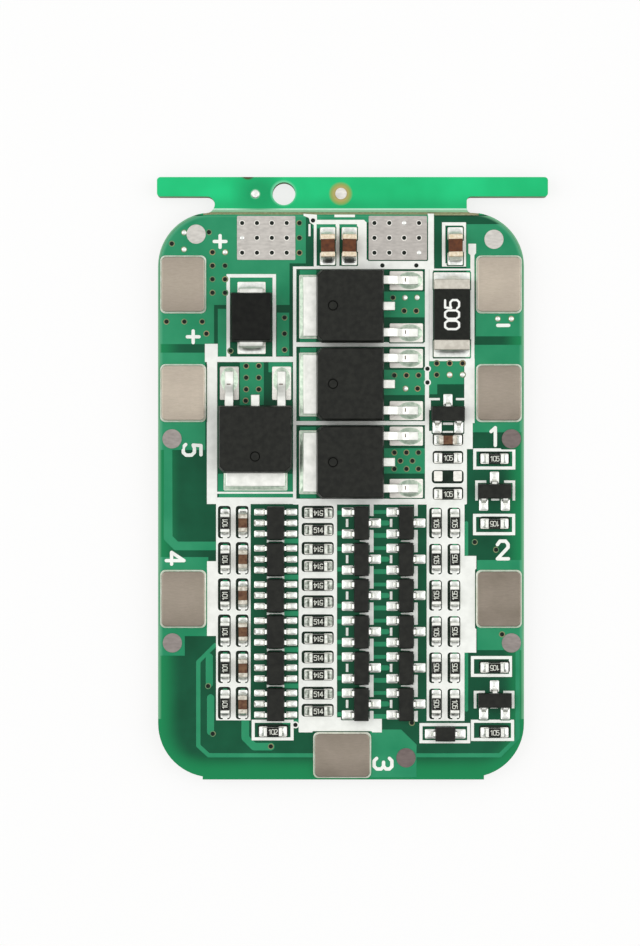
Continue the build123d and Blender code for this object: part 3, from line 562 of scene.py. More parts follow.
# Copper relief under the mask, as it shows through
holes = drilledHoles(0.4)
print("drilled holes found:", len(holes))
landBoxes = islandBoxes("tinned_lands")
clear = board["edgeClear"]
copperX, copperY = (edge - clear for edge in board["copperEdge"])
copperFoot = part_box("circuit_board")[0][1] * 1000 + clear
insideEdge = roundedRect(-copperX, copperFoot, copperX, copperY, board["cornerRadius"] - clear, 12)
pours = photoShapes([
    ((140, 200), (305.6, 200), (305.6, 263), (289.3, 263), (289.3, 304.6), (213.8, 304.6), (213.8, 343.8),
     (140, 343.8)),
    (218, 309, 227, 357), (276.8, 312.8, 288.9, 355.6), (140, 352.8, 205, 449.7), (140, 557.4, 208, 636),
    (140, 630, 184.4, 655.6), ((370.4, 730), (401, 730), (416.3, 745), (416.3, 779.6), (370.4, 779.6)),
    (477.4, 560.3, 560, 650), ((466.7, 224.3), (560, 224.3), (560, 336), (476, 336), (476, 280), (466.7, 280)),
    (384, 291.6, 428, 317), (384, 370, 428, 394.8), (384, 448.4, 428, 473.3), (240, 362, 263.5, 405),
    (268.6, 362, 292, 372), ((428, 361), (463.7, 361), (463.7, 384), (437, 384), (437, 394), (428, 394)),
    (312.6, 214, 366, 228), (466, 345, 560, 432), (366, 200, 434, 222), (300, 270, 316, 342), (300, 348, 316, 421),
    (300, 427, 316, 498), (218, 474, 293, 491.7), (219, 494, 292.5, 497.2),
])
wires = [
    # corners and width, in pixels
    ([(168, 449), (168, 538), (176, 546), (216, 546)], 8),
    ([(214.9, 645.3), (198.2, 662), (198.2, 746), (208.5, 755.5), (500, 755.5), (517.6, 738), (517.6, 650)], 3.6),
    ([(209.2, 657), (209.2, 684)], 6.5), ([(210.5, 698), (210.5, 732)], 6.5),
    ([(245.2, 721), (245.2, 738), (254, 746.8), (270.8, 746.8)], 7),
    ([(466.4, 523), (466.4, 556)], 3), ([(466.4, 652), (466.4, 710)], 3),
]
for rowY in cellRows:
    for left, right, drop, width in (
        (284, 298, 18, 4), (373, 387, -11, 3), (373, 387, 0, 4.5), (373, 387, 12.5, 4), (336, 343, -10.3, 3.5),
        (336, 343, 10.3, 3.5),
    ):
        wires.append(([(left, rowY + drop), (right, rowY + drop)], width))
copperShapes = pours
for pixels, width in wires:
    copperShapes = copperShapes + track(photoShape(*pixels), width / photo["pixelsPerMm"])
holeDiscs = [disc(x, y, board["holeClear"]) for x, y in holes]
copperMesh = flatLayer("copper_relief", copperShapes, holeDiscs, board["sheetLow"], board["copperHigh"],
                       board["copperLean"], [insideEdge])
addObject("copper_relief", copperMesh, [copperMask])
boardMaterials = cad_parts["circuit_board"].data.materials
boardMaterials.clear()
boardMaterials.append(laminateMask)


# Making solids
def seatingTree():
    # stands a piece on every point, turned by the point's "turn", shifted a little by a seeded chance
    tree = bpy.data.node_groups.new("seat pieces on the board", "GeometryNodeTree")
    for name, kind, value in (
        ("Geometry", "Geometry", None), ("Piece", "Object", None), ("Material", "Material", None),
        ("Shift", "Float", 0.0), ("Skew", "Float", 0.0), ("Seed", "Int", 1),
    ):
        item = tree.interface.new_socket(name, in_out="INPUT", socket_type="NodeSocket" + kind)
        if value is not None:
            item.default_value = value
    tree.interface.new_socket("Geometry", in_out="OUTPUT", socket_type="NodeSocketGeometry")
    start = addNode(tree, "NodeGroupInput").outputs
    shift, skew, seed = start["Shift"], start["Skew"], start["Seed"]
    back = maths(tree, "MULTIPLY", shift, -1.0)
    low = addNode(tree, "ShaderNodeCombineXYZ", {"X": back, "Y": back}).outputs[0]
    high = addNode(tree, "ShaderNodeCombineXYZ", {"X": shift, "Y": shift}).outputs[0]
    chance = addNode(
        tree, "FunctionNodeRandomValue", {"Min": low, "Max": high, "Seed": seed}, data_type="FLOAT_VECTOR"
    )
    moved = addNode(tree, "GeometryNodeSetPosition", {"Geometry": start["Geometry"], "Offset": chance.outputs[0]})
    turn = addNode(tree, "GeometryNodeInputNamedAttribute", {"Name": "turn"}, data_type="FLOAT").outputs[0]
    less = maths(tree, "MULTIPLY", skew, -1.0)
    askew = addNode(tree, "FunctionNodeRandomValue", {2: less, 3: skew, 8: seed}, data_type="FLOAT")
    rotation = addNode(tree, "ShaderNodeCombineXYZ", {"Z": maths(tree, "ADD", turn, askew.outputs[1])}).outputs[0]
    piece = addNode(tree, "GeometryNodeObjectInfo", {"Object": start["Piece"]}, transform_space="ORIGINAL")
    sockets = {"Points": moved.outputs[0], "Instance": piece.outputs["Geometry"], "Rotation": rotation}
    stand = addNode(tree, "GeometryNodeInstanceOnPoints", sockets)
    real = addNode(tree, "GeometryNodeRealizeInstances", {"Geometry": stand.outputs[0]})
    coat = addNode(tree, "GeometryNodeSetMaterial", {"Geometry": real.outputs[0], "Material": start["Material"]})
    addNode(tree, "NodeGroupOutput", {0: coat.outputs[0]})
    return tree


seating = seatingTree()


def finishMesh(bm):
    # mm to metres, faces outward
    bmesh.ops.remove_doubles(bm, verts=bm.verts, dist=1e-5)
    bmesh.ops.recalc_face_normals(bm, faces=bm.faces)
    bmesh.ops.scale(bm, vec=(millimetre,) * 3, verts=bm.verts)
    mesh = bpy.data.meshes.new("shape")
    bm.to_mesh(mesh)
    bm.free()
    return mesh


def seatedMesh(shape, places, material, shift=0.0, skew=0.0, seed=1):
    # copies of a shape (about its own middle) at places (x, y, z, turn), as one plain mesh in metres
    mesh = finishMesh(shape) if isinstance(shape, bmesh.types.BMesh) else shape
    template = sceneObject("template", mesh)
    points = bpy.data.meshes.new("places")
    points.from_pydata([metres(*place[:3]) for place in places], [], [])
    points.attributes.new("turn", "FLOAT", "POINT").data.foreach_set("value", [place[3] for place in places])
    carrier = sceneObject("carrier", points)
    modifier = carrier.modifiers.new("seat", "NODES")
    modifier.node_group = seating
    values = {"Piece": template, "Material": material, "Shift": shift * millimetre, "Skew": math.radians(skew),
              "Seed": seed}
    for item in seating.interface.items_tree:
        if item.in_out == "INPUT" and item.name in values:
            modifier[item.identifier] = values[item.name]
    graph = bpy.context.evaluated_depsgraph_get()
    result = bpy.data.meshes.new_from_object(carrier.evaluated_get(graph))
    result.materials.clear()
    result.materials.append(material)
    bpy.data.objects.remove(carrier)
    bpy.data.objects.remove(template)
    bpy.data.meshes.remove(points)
    return result


def joinedMesh(name, meshes):
    # several meshes as one, keeping each one's material
    whole = bpy.data.meshes.new(name)
    bm = bmesh.new()
    materials = []
    for mesh in meshes:
        material = mesh.materials[0]
        if material not in materials:
            materials.append(material)
        start = len(bm.faces)
        bm.from_mesh(mesh)
        bm.faces.ensure_lookup_table()
        for face in bm.faces[start:]:
            face.material_index = materials.index(material)
        bpy.data.meshes.remove(mesh)
    bm.to_mesh(whole)
    bm.free()
    for material in materials:
        whole.materials.append(material)
    return whole


def addJoined(name, meshes, replaced=()):
    addObject(name, joinedMesh(name, meshes), (), replaced)


def addSeated(name, places, pieces, replaced=()):
    # shapes that stand at the same places, each with its material and how far it sits askew, as one object
    meshes = [seatedMesh(shape, places, material, *askew) for shape, material, *askew in pieces]
    addJoined(name, meshes, replaced)


def stitch(bm, rings, closed=False):
    # walls between neighbouring rings of corners
    for a, b in zip(rings, rings[1:] + (rings[:1] if closed else [])):
        for i in range(len(a)):
            j = (i + 1) % len(a)
            bm.faces.new([a[i], a[j], b[j], b[i]])


def capEnds(bm, rings):
    bm.faces.new(list(reversed(rings[0])))
    bm.faces.new(rings[-1])


def turnedRings(bm, profile, sides):
    return [[bm.verts.new((x, y, z)) for x, y in disc(0, 0, r, sides)] for r, z in profile]


def ringMesh(outer, high):
    # a plated barrel with a flange on both faces
    bm = bmesh.new()
    inner, proud = plating["barrel"], plating["proud"]
    lip = [(inner, 0.0), (outer * 0.97, 0.0), (outer, proud), (outer, proud * 1.5), (inner + 0.02, proud * 1.5)]
    stitch(bm, turnedRings(bm, lip + [(r, high - z) for r, z in reversed(lip)], plating["sides"]), True)
    return bm


def spunMesh(profile, sides):
    # a closed turned shape from its radius and height steps, its ends on the axis
    bm = bmesh.new()
    low = bm.verts.new((0, 0, profile[0][1]))
    rings = turnedRings(bm, profile[1:-1], sides)
    high = bm.verts.new((0, 0, profile[-1][1]))
    for i in range(sides):
        j = (i + 1) % sides
        bm.faces.new([low, rings[0][j], rings[0][i]])
        bm.faces.new([high, rings[-1][i], rings[-1][j]])
    stitch(bm, rings)
    return bm


def breakEdges(bm, edges, bevel, segments):
    if bevel:
        bmesh.ops.bevel(bm, geom=edges, offset=bevel, segments=segments, profile=0.5, affect="EDGES")
    return bm


def boxMesh(size, middle=(0, 0, 0), bevel=0.0, segments=2):
    # a block with worn edges
    bm = bmesh.new()
    bmesh.ops.create_cube(bm, size=1.0)
    bmesh.ops.scale(bm, vec=size, verts=bm.verts)
    bmesh.ops.translate(bm, vec=middle, verts=bm.verts)
    return breakEdges(bm, list(bm.edges), bevel, segments)


def profileMesh(points, width, middleY, bevel):
    # a profile in X and Z given a width along Y, its edges broken
    bm = bmesh.new()
    sides = [[bm.verts.new((x, middleY + half, z)) for x, z in points] for half in (-width / 2, width / 2)]
    bm.faces.new(sides[0])
    bm.faces.new(list(reversed(sides[1])))
    stitch(bm, [side[::-1] for side in sides])
    bmesh.ops.recalc_face_normals(bm, faces=bm.faces)
    return breakEdges(bm, list(bm.edges), bevel, 1)


def addInto(bm, other):
    # pours one bmesh into another
    scratch = bpy.data.meshes.new("scratch")
    other.to_mesh(scratch)
    other.free()
    bm.from_mesh(scratch)
    bpy.data.meshes.remove(scratch)
    return bm


def flipped(bm):
    # a piece turned over to the other side of X, faces kept outward
    bmesh.ops.scale(bm, vec=(-1, 1, 1), verts=bm.verts)
    bmesh.ops.reverse_faces(bm, faces=bm.faces)
    return bm


def mirrored(bm):
    return addInto(bm, flipped(bm.copy()))


def endCap(length, width, height, wrap, bevel=0.05):
    # the plated ends that wrap a chip
    return mirrored(boxMesh((wrap, width, height), (length / 2 - wrap / 2, 0, height / 2), bevel, 3))


def solderFillet(x0, x1, width, rise, foot, segments=5):
    # solder from an end face down to its land: hollow along X, rounded across Y
    bm = bmesh.new()
    rows = []
    for i in range(segments + 1):
        t = i / segments
        x = x0 + (x1 - x0) * t
        crest = foot + (rise - foot) * (1 - t) ** 2.2
        row = []
        for j in range(7):
            side = -1 + j / 3
            fall = 1 - abs(side) ** 3 * 0.75
            row.append(bm.verts.new((x, side * width / 2 * (1 - 0.12 * t * t), max(0.004, crest * fall))))
        rows.append(row)
    base = [[bm.verts.new((v.co.x, v.co.y, -0.03)) for v in row] for row in rows]
    for grid, flip in ((rows, x1 < x0), (base, x1 > x0)):
        for a, b in zip(grid, grid[1:]):
            for j in range(6):
                face = [a[j], b[j], b[j + 1], a[j + 1]]
                bm.faces.new(list(reversed(face)) if flip else face)
    for j in range(6):
        bm.faces.new([rows[0][j], rows[0][j + 1], base[0][j + 1], base[0][j]])
        bm.faces.new([rows[-1][j + 1], rows[-1][j], base[-1][j], base[-1][j + 1]])
    for i in range(segments):
        bm.faces.new([rows[i][0], base[i][0], base[i + 1][0], rows[i + 1][0]])
        bm.faces.new([rows[i][-1], rows[i + 1][-1], base[i + 1][-1], base[i][-1]])
    return bm


def footSolder(x0, x1, width, middleY, rise, side=1):
    # solder round a lead's foot: a low dome over its land
    bm = bmesh.new()
    steps = [-1 + i / 4 for i in range(9)]
    rows = [
        [bm.verts.new((side * ((x0 + x1) / 2 + u * (x1 - x0) / 2), middleY + v * width / 2,
                       rise * ((1 - abs(u) ** 3) * (1 - abs(v) ** 3)))) for v in steps]
        for u in steps
    ]
    for a, b in zip(rows, rows[1:]):
        for j in range(8):
            bm.faces.new([a[j], b[j], b[j + 1], a[j + 1]])
    rim = [e for e in bm.edges if e.is_boundary]
    extruded = bmesh.ops.extrude_edge_only(bm, edges=rim)
    lowered = [v for v in extruded["geom"] if isinstance(v, bmesh.types.BMVert)]
    bmesh.ops.translate(bm, vec=(0, 0, -0.03), verts=lowered)
    bmesh.ops.contextual_create(bm, geom=[e for e in bm.edges if e.is_boundary])
    bmesh.ops.recalc_face_normals(bm, faces=bm.faces)
    return bm


def ovalSolder(x, y, reachX, reachY, rise):
    # solder drawn up round a lead's foot: an oval mound on its land
    bm = bmesh.new()
    steps = [(1.0, -0.03)]
    steps += [(share, 0.004 + rise * (1 - share ** 2) ** 1.4) for share in (1.0, 0.92, 0.8, 0.64, 0.45, 0.22)]
    rings = [
        [bm.verts.new((x + reachX * cos, y + reachY * sin, z)) for cos, sin in disc(0, 0, share, 20)]
        for share, z in steps
    ]
    capEnds(bm, rings)
    stitch(bm, rings)
    return bm


def caseMesh(sizeX, sizeY, low, parting, high, draft, chamfer=0.0, bevel=0.05, segments=2):
    # a moulded case: widest at the parting line, drafted both ways, two corners cut where the tool gates
    slope = math.tan(math.radians(draft))
    bm = bmesh.new()
    rings = []
    for z in (low, parting, parting + 0.03, high):
        shrink = max(0.0, abs(z - parting) - (0.03 if z > parting else 0)) * slope
        x, y = sizeX / 2 - shrink, sizeY / 2 - shrink
        corners = [(x, -y), (x, y), (-x, y), (-x, -y)]
        if chamfer:
            corners[2:] = [(chamfer - x, y), (-x, y - chamfer), (-x, chamfer - y), (chamfer - x, -y)]
        rings.append([bm.verts.new((cx, cy, z)) for cx, cy in corners])
    stitch(bm, rings)
    capEnds(bm, rings)
    rims = [e for e in bm.edges if all(v.co.z > high - 1e-6 for v in e.verts)]
    posts = [e for e in bm.edges if abs(e.verts[0].co.z - e.verts[1].co.z) > 1e-6]
    return breakEdges(bm, rims + posts, bevel, segments)


def bentStrip(path, thickness, width, middleY=0.0, bevel=0.015):
    # a strip bent along a path in X and Z, its corners rounded by the bending tool
    path = [Vector(point) for point in path]
    smooth = [path[0]]
    for before, here, after in zip(path, path[1:], path[2:]):
        first, last = (before - here).normalized(), (after - here).normalized()
        reach = min(thickness * 0.8, (before - here).length / 2)
        smooth += [here + first * reach, here + (first + last) * reach / 4]
        smooth.append(here + last * min(thickness * 0.8, (after - here).length / 2))
    smooth.append(path[-1])
    upper, lower = [], []
    for i, point in enumerate(smooth):
        ahead = smooth[min(i + 1, len(smooth) - 1)] - smooth[max(i - 1, 0)]
        normal = Vector((-ahead.y, ahead.x)).normalized() * thickness / 2
        upper.append(tuple(point + normal))
        lower.append(tuple(point - normal))
    return profileMesh(upper + list(reversed(lower)), width, middleY, bevel)


# Plated holes: one ring through the laminate, placed by Geometry Nodes
plating = {
    "barrel": 0.15, "proud": 0.03, "sides": 16,
    # outer radius and top of each kind of ring
    "mask": (0.265, 1.642), "tin": (0.255, 1.67), "ink": (0.31, 1.655),
    # radius and height steps of the plugs
    "plug": [(0, 0.3), (0.158, 0.3), (0.158, 1.55), (0.19, 1.6), (0.19, 1.676), (0.152, 1.672), (0, 1.655)],
    "fill": [(0, 0.2), (0.158, 0.2), (0.158, 1.6), (0.2, 1.65), (0.12, 1.69), (0, 1.7)],
    "railFill": [(0, 0.2), (0.3, 0.2), (0.3, 1.6), (0.36, 1.625), (0.3, 1.67), (0, 1.69)],
}
# holes filled with solder, which look white, from the photograph; the last is the larger one in the rail
railHole = (255.2, 193.9)
filledPlaces = photoShape(
    (184.2, 249.1), (183.8, 232.3), (224.9, 253.4), (405.1, 297.4), (417.2, 297.4), (498, 318), (511.5, 319),
    (405.3, 387.8), (450, 374.2), (462.4, 374.7), (241, 235.2), (240.8, 249.6), (404, 222), (418.3, 249.9),
    railHole,
)
# holes whose rims lie under print, pale all round
printedRims = photoShape((382.2, 265.5), (416.4, 265.5), (430.9, 368), (430.9, 382.5), (295, 725), (313, 218.3))
fieldWide, fieldDeep, fieldFoot = board["field"]
outputFields = [
    box for box in landBoxes if sizeOf(box)[0] > fieldWide and sizeOf(box)[1] < fieldDeep and box[0][1] > fieldFoot
]
holePlaces = [(x, y, 0.0, 0.0) for x, y in holes]
filledHoles = [place for place in holePlaces if isNear(place, filledPlaces, 0.25)]
openHoles = [place for place in holePlaces if place not in filledHoles]
fieldHoles = [place for place in holePlaces if isInside(place, outputFields, 0.05)]
printHoles = [place for place in holePlaces if isNear(place, printedRims, 0.35)]
maskHoles = [place for place in holePlaces if place not in fieldHoles + printHoles]
print("holes plugged and filled:", len(openHoles), len(filledHoles))
addJoined("plated_holes", [
    seatedMesh(ringMesh(*plating["mask"]), maskHoles, thinMask),
    seatedMesh(ringMesh(*plating["tin"]), [place for place in fieldHoles if place in openHoles], levelledTin),
    seatedMesh(ringMesh(*plating["ink"]), printHoles, whiteInk),
    # the open holes get a black plug: painted shade
    seatedMesh(spunMesh(plating["plug"], 12), openHoles, openHoleShade),
    seatedMesh(spunMesh(plating["fill"], 12), filledHoles, solder),
    seatedMesh(spunMesh(plating["railFill"], 20), [(*fromPhoto(*railHole), 0.0, 0.0)], solder),
])


def perCell(part):
    return [f"cell_{number}_{part}" for number in range(1, 7)]


resistorNodes = perCell("resistors") + ["lone_resistors"]
capacitorNodes = perCell("capacitor") + ["control_capacitor"]
bigCapacitorNodes = ["output_capacitor_plus", "output_capacitor_minus", "sense_capacitor"]
transistorNodes = perCell("first_transistor") + perCell("second_transistor")
transistorNodes += ["control_transistor", "upper_bias_transistor", "lower_bias_transistor"]
fetNames = ["discharge_fet_1", "discharge_fet_2", "discharge_fet_3", "charge_fet"]
chipBoxes = [box for node in resistorNodes for box in islandBoxes(node)]
windowBoxes = chipBoxes + firstBoxes(capacitorNodes)

# White print, kept clear of every land as on the real board
legend = {
    "high": 1.645, "lean": 0.01, "line": 0.29, "figure": 1.55,
    "gap": 0.1, "gapRadius": 0.12, "holeGap": 0.3,  # room round lands and holes
    # window round a chip: room at its ends, its wide and narrow side, and the tongue in its foot; the wide side
    # holds the chip's painted shadow
    "windowRadius": 0.25, "windowEnds": 0.54, "windowWide": 0.23, "windowNarrow": 0.09, "tongue": (0.2, 0.13),
    "headroom": 0.16, "leftColumns": -7,  # upright chips left of this have longer windows
    "leftroom": 0.13, "midColumn": ((-4, 0), (-19.5, -0.7)),  # and lying chips between these wider ones
    "windowHigh": 1.632,
    "trackHigh": 1.636, "track": (0.2, 0.3, 0.53),  # half width, start and end of the track at a window's head
}


def opening(box):
    # the rounded window in the print round a chip and its lands, off to the upper left to hold the chip's painted
    # shadow, notched at its foot
    ends, wide, narrow = legend["windowEnds"], legend["windowWide"], legend["windowNarrow"]
    lying = sizeOf(box)[0] > sizeOf(box)[1]
    left, right, foot, head = (ends, ends, narrow, wide) if lying else (wide, narrow, ends, ends)
    x, y = box[0][:2]
    if not lying and x < legend["leftColumns"]:
        head += legend["headroom"]
    if lying and all(low < value < high for value, (low, high) in zip((x, y), legend["midColumn"])):
        left += legend["leftroom"]
    outline = boxRect(box, left, foot, right, head, legend["windowRadius"])
    if lying:
        return outline
    middle, low, (half, high) = middleOf(box)[0], y - foot, legend["tongue"]
    return outline + [(middle - half, low), (middle - half, low + high), (middle + half, low + high),
                      (middle + half, low)]


openings = [opening(box) for box in windowBoxes]
openings.append(photoRect(431.8, 470.1, 463.7, 483.5, 0.3))  # the pair of lands left empty


def inOpening(box):
    # whether a land lies in a chip's window, where the window alone bounds the print
    x, y = middleOf(box)
    return any(min(p[0] for p in o) < x < max(p[0] for p in o) and min(p[1] for p in o) < y < max(p[1] for p in o)
               for o in openings)


def ringShape(x0, y0, x1, y1, width):
    # a printed frame, as four strokes
    return [(x0, y0, x1, y0 + width), (x0, y1 - width, x1, y1), (x0, y0, x0 + width, y1), (x1 - width, y0, x1, y1)]


# strokes of the printed figures, in a box 0.6 wide and 1 high
strokes = {
    "0": [[(0, 0.2), (0, 0.8), (0.15, 1), (0.45, 1), (0.6, 0.8), (0.6, 0.2), (0.45, 0), (0.15, 0), (0, 0.2)]],
    "1": [[(0.12, 0.78), (0.36, 1), (0.36, 0)]],
    "2": [[(0, 0.8), (0.14, 1), (0.46, 1), (0.6, 0.82), (0.6, 0.64), (0, 0), (0.62, 0)]],
    "3": [[(0, 0.86), (0.14, 1), (0.46, 1), (0.6, 0.86), (0.6, 0.66), (0.44, 0.53), (0.22, 0.53)],
          [(0.44, 0.53), (0.6, 0.4), (0.6, 0.15), (0.45, 0), (0.14, 0), (0, 0.14)]],
    "4": [[(0.46, 0), (0.46, 1), (0, 0.3), (0.66, 0.3)]],
    "5": [[(0.58, 1), (0.06, 1), (0.03, 0.56), (0.2, 0.63), (0.44, 0.63), (0.6, 0.47), (0.6, 0.16), (0.45, 0),
           (0.14, 0), (0, 0.14)]],
    "+": [[(0, 0.5), (0.66, 0.5)], [(0.33, 0.17), (0.33, 0.83)]],
    "-": [[(0, 0.5), (0.62, 0.5)]],
}


def figures(text, x, y, height, width, turn=0.0, pitch=0.86):
    # figures drawn with a round pen about (x, y), in mm, turned by degrees
    shapes = []
    cos, sin = math.cos(math.radians(turn)), math.sin(math.radians(turn))
    for place, sign in enumerate(text):
        start = (place - (len(text) - 1) / 2) * pitch * height
        for line in strokes[sign]:
            flat = [(start + (u - 0.31) * height, (v - 0.5) * height) for u, v in line]
            shapes += track([(x + px * cos - py * sin, y + px * sin + py * cos) for px, py in flat], width)
    return shapes


printed = [
    # the three power transistors in their column
    (293, 266.4, 296.2, 504.5), (293, 266.4, 429, 268.9), (293, 342.2, 429, 346.6), (293, 421, 429, 425),
    (425, 266.4, 429, 504.5), (293, 498.8, 429, 504.5),
    # the charge transistor and the diode
    (204.8, 343.8, 217.6, 361), (206.8, 361, 217, 504), (206.8, 491.8, 296, 493.7), (206.8, 497.5, 296, 504),
    (293, 356.6, 296.2, 500), (204.8, 356.6, 296, 361.9),
    # output capacitors and the field by the minus land
    (313.8, 222, 316.5, 268.4), (335.7, 222, 339.3, 268.4), (357, 222, 366.5, 268.4),
    ((316, 219.7), (364, 219.7), (366.5, 222.5), (366.5, 224), (313.8, 224), (313.8, 222)),
    (313.8, 265.7, 366.5, 268.4), (357, 259.6, 434, 268.8), (427.7, 213.5, 433.9, 268), (334.4, 214.5, 354.9, 217),
    (308.5, 224, 310.5, 236),
    # shunt
    (429.3, 268.5, 433, 361), (429.3, 268.5, 472, 270.3), (429.3, 358.5, 474.6, 361),
    ((468.4, 243.6), (476.1, 243.6), (476.1, 253), (474.4, 255), (474.4, 358.5), (470.5, 358.5), (470.5, 255),
     (468.4, 253)),
    (464.4, 358.5, 474.6, 423), (464.4, 423, 472.7, 449), (463.7, 449, 466.9, 504),
    # control column, cell columns and tap blocks
    (428, 431, 466, 504.5), (216, 504, 250.5, 720.4), (206.9, 561.3, 216, 636), (298.6, 504, 336.9, 732),
    (299, 717.6, 369, 732.5), (369, 719, 381.8, 732.5), (426.7, 504, 464.5, 721), (462, 556, 476.3, 652.7),
]
for frameShape in (
    (226.4, 274, 275.9, 361, 3.4), (442.1, 222.2, 466, 266.4, 3.2), (473.3, 448.4, 515.4, 469.5, 3),
    (473.1, 513.9, 515.2, 535.2, 3), (471, 656.2, 512, 677, 3), (471, 719.9, 514.1, 741.1, 3),
    (251.6, 719.9, 293.5, 740.5, 3), (419.5, 723.3, 470.2, 743.4, 3),
):
    printed += ringShape(*frameShape)
for rowY in cellRows:
    for left, right in ((369.7, 373.5), (414.2, 417.7)):
        printed += [(left, rowY - 19, right, rowY - 7), (left, rowY + 7, right, rowY + 17.5)]
    for left, right in ((345.9, 348.3), (389.9, 392.3)):
        printed.append((left, rowY - 4, right, rowY + 4))
for x, y, sign in ((430.8, 398, 1), (465, 398, -1)):
    printed += [(x, y, x + sign * 9, y + 2.2), (x - sign * 2.5, y, x, y + 12)]
printed.append((443, 422.5, 454, 424.8))
for x0, x1, y0, y1 in ((475.3, 515.2, 480.5, 500.5), (473.9, 514.4, 691, 708.5)):
    printed += [(x0, y0, x0 + 2.6, y1), (x1 - 2.6, y0, x1, y1), (x0, y0, x0 + 11, y0 + 2.4),
                (x1 - 11, y0, x1, y0 + 2.4), ((x0 + x1) / 2 - 4, y1 - 2.4, (x0 + x1) / 2 + 4, y1)]
for rowY in cellRows[:-1]:
    # thin lines between neighbouring cases, widening where they meet the upright strokes
    seam = rowY + 18
    for left, right in ((359.5, 370.2), (401, 414.6)):
        printed.append(((left, seam - 0.5), (right - 5, seam - 0.9), (right, seam - 4), (right, seam + 4.6),
                        (right - 5, seam + 1.1), (left, seam + 0.6)))
    printed.append(((266.8, seam - 1.8), (269.5, seam - 0.5), (281.5, seam - 0.5), (284.2, seam - 1.8),
                    (284.2, seam + 1.8), (281.5, seam + 0.5), (269.5, seam + 0.5), (266.8, seam + 1.8)))
printed.append(((303.5, 213.6), (316.8, 214.6), (317, 222), (314, 225), (311, 223), (308.6, 217.6),
                (303.5, 215.6)))
printedShapes = photoShapes(printed)
# terminal signs and cell numbers
for sign, x, y, turn in (
    ("+", 220, 241, -90), ("+", 192.7, 336.7, 0), ("-", 503.3, 325.3, 0), ("5", 192, 450, -90),
    ("4", 175, 558, -90), ("3", 383, 764, -90), ("1", 494.5, 436.5, 0), ("2", 503, 550, 0),
):
    printedShapes += figures(sign, *fromPhoto(x, y), legend["figure"], legend["line"], turn)


def addSheet(name, shapes, cuts, high, lean, material, replaced=()):
    mesh = flatLayer(name, shapes, cuts, board["sheetLow"], high, lean)
    addObject(name, mesh, [material], replaced)
    return mesh


gap = legend["gap"]
landClear = [boxRect(box, gap, gap, gap, gap, legend["gapRadius"]) for box in landBoxes if not inOpening(box)]
legendCuts = openings + landClear + [disc(x, y, legend["holeGap"]) for x, y in holes]
addSheet("white_legend", printedShapes, legendCuts, legend["high"], legend["lean"], whiteInk,
         ["legend_print"])
# a dark sheet in each chip's window: painted shadow
addSheet("chip_windows", openings, [], legend["windowHigh"], legend["lean"], windowShadow)
headTracks = []
for box in windowBoxes:
    if sizeOf(box)[1] > sizeOf(box)[0]:
        middle, head, (half, start, end) = middleOf(box)[0], box[1][1], legend["track"]
        headTracks.append(roundedRect(middle - half, head + start, middle + half, head + end))
addSheet("window_tracks", headTracks, [], legend["trackHigh"], legend["lean"], copperMask)

# Tinned lands: flat levelled tin with rounded corners, drilled with the board
lands = {
    "high": 1.655, "lean": 0.015, "hole": 0.17, "corner": 0.1, "tabCorner": 0.5, "trim": 0.05,
    "trimmedWide": 0.87, "uprightWide": 0.88,  # chip lands wider than the first lose their trim, upright ones in X
    "square": 0.12, "roundWides": ((0.95, 1.05), (1.5, 1.8)), "tabSides": ((3.9, 5.08), (3.9, 5.1)),
    # how much darker each land is painted: the output fields and the test pads are darker, and so are the lands
    # round the power transistors, as painted shade
    "leftField": 0.5, "rightField": 0.58, "transistor": 0.36, "transistorReach": 0.8, "padReach": 1.1,
    "pads": {(196, 234): 0.4, (494, 239.7): 0.41, (171.9, 439.5): 0.8, (511.9, 436.9): 1.0, (172.4, 642.4): 0.86,
             (511.5, 644.1): 0.85, (405.4, 758.3): 1.08, (340.7, 193.6): 0.22},
}
landShapes = []
for box in landBoxes:
    wide, deep = sizeOf(box)[:2]
    trimX = trimY = 0.0
    if inOpening(box) and wide > lands["trimmedWide"]:
        # chip lands print narrower than their copper, because the mask overlaps them
        trimX, trimY = (lands["trim"], 0.0) if abs(wide - lands["uprightWide"]) < 0.02 else (0.0, lands["trim"])
    if abs(wide - deep) < lands["square"] and any(low < wide < high for low, high in lands["roundWides"]):
        landShapes.append(disc(*middleOf(box), wide / 2, 32))
    else:
        isTab = all(low < side < high for side, (low, high) in zip((wide, deep), lands["tabSides"]))
        corner = lands["tabCorner" if isTab else "corner"]
        landShapes.append(boxRect(box, -trimX, -trimY, -trimX, -trimY, corner, 5))
landMesh = addSheet("tinned_land_field", landShapes, [disc(x, y, lands["hole"]) for x, y in holes], lands["high"],
                    lands["lean"], levelledTin, ["tinned_lands"])
fetFrames = firstBoxes(f"{name}_leadframe" for name in fetNames)
landDarknesses = []
for vertex in landMesh.vertices:
    x, y = vertex.co.x / millimetre, vertex.co.y / millimetre
    landDarkness = lands["leftField" if x < 0 else "rightField"] if isInside((x, y), outputFields, 0.05) else 0.0
    # the lands round the power transistors are painted darker: painted shade
    if isInside((x, y), fetFrames, lands["transistorReach"]):
        landDarkness = lands["transistor"]
    for pixel, padDarkness in lands["pads"].items():
        if isNear((x, y), [fromPhoto(*pixel)], lands["padReach"]):
            landDarkness = padDarkness
    landDarknesses.append(landDarkness)
landMesh.attributes.new("darkening", "FLOAT", "POINT").data.foreach_set("value", landDarknesses)

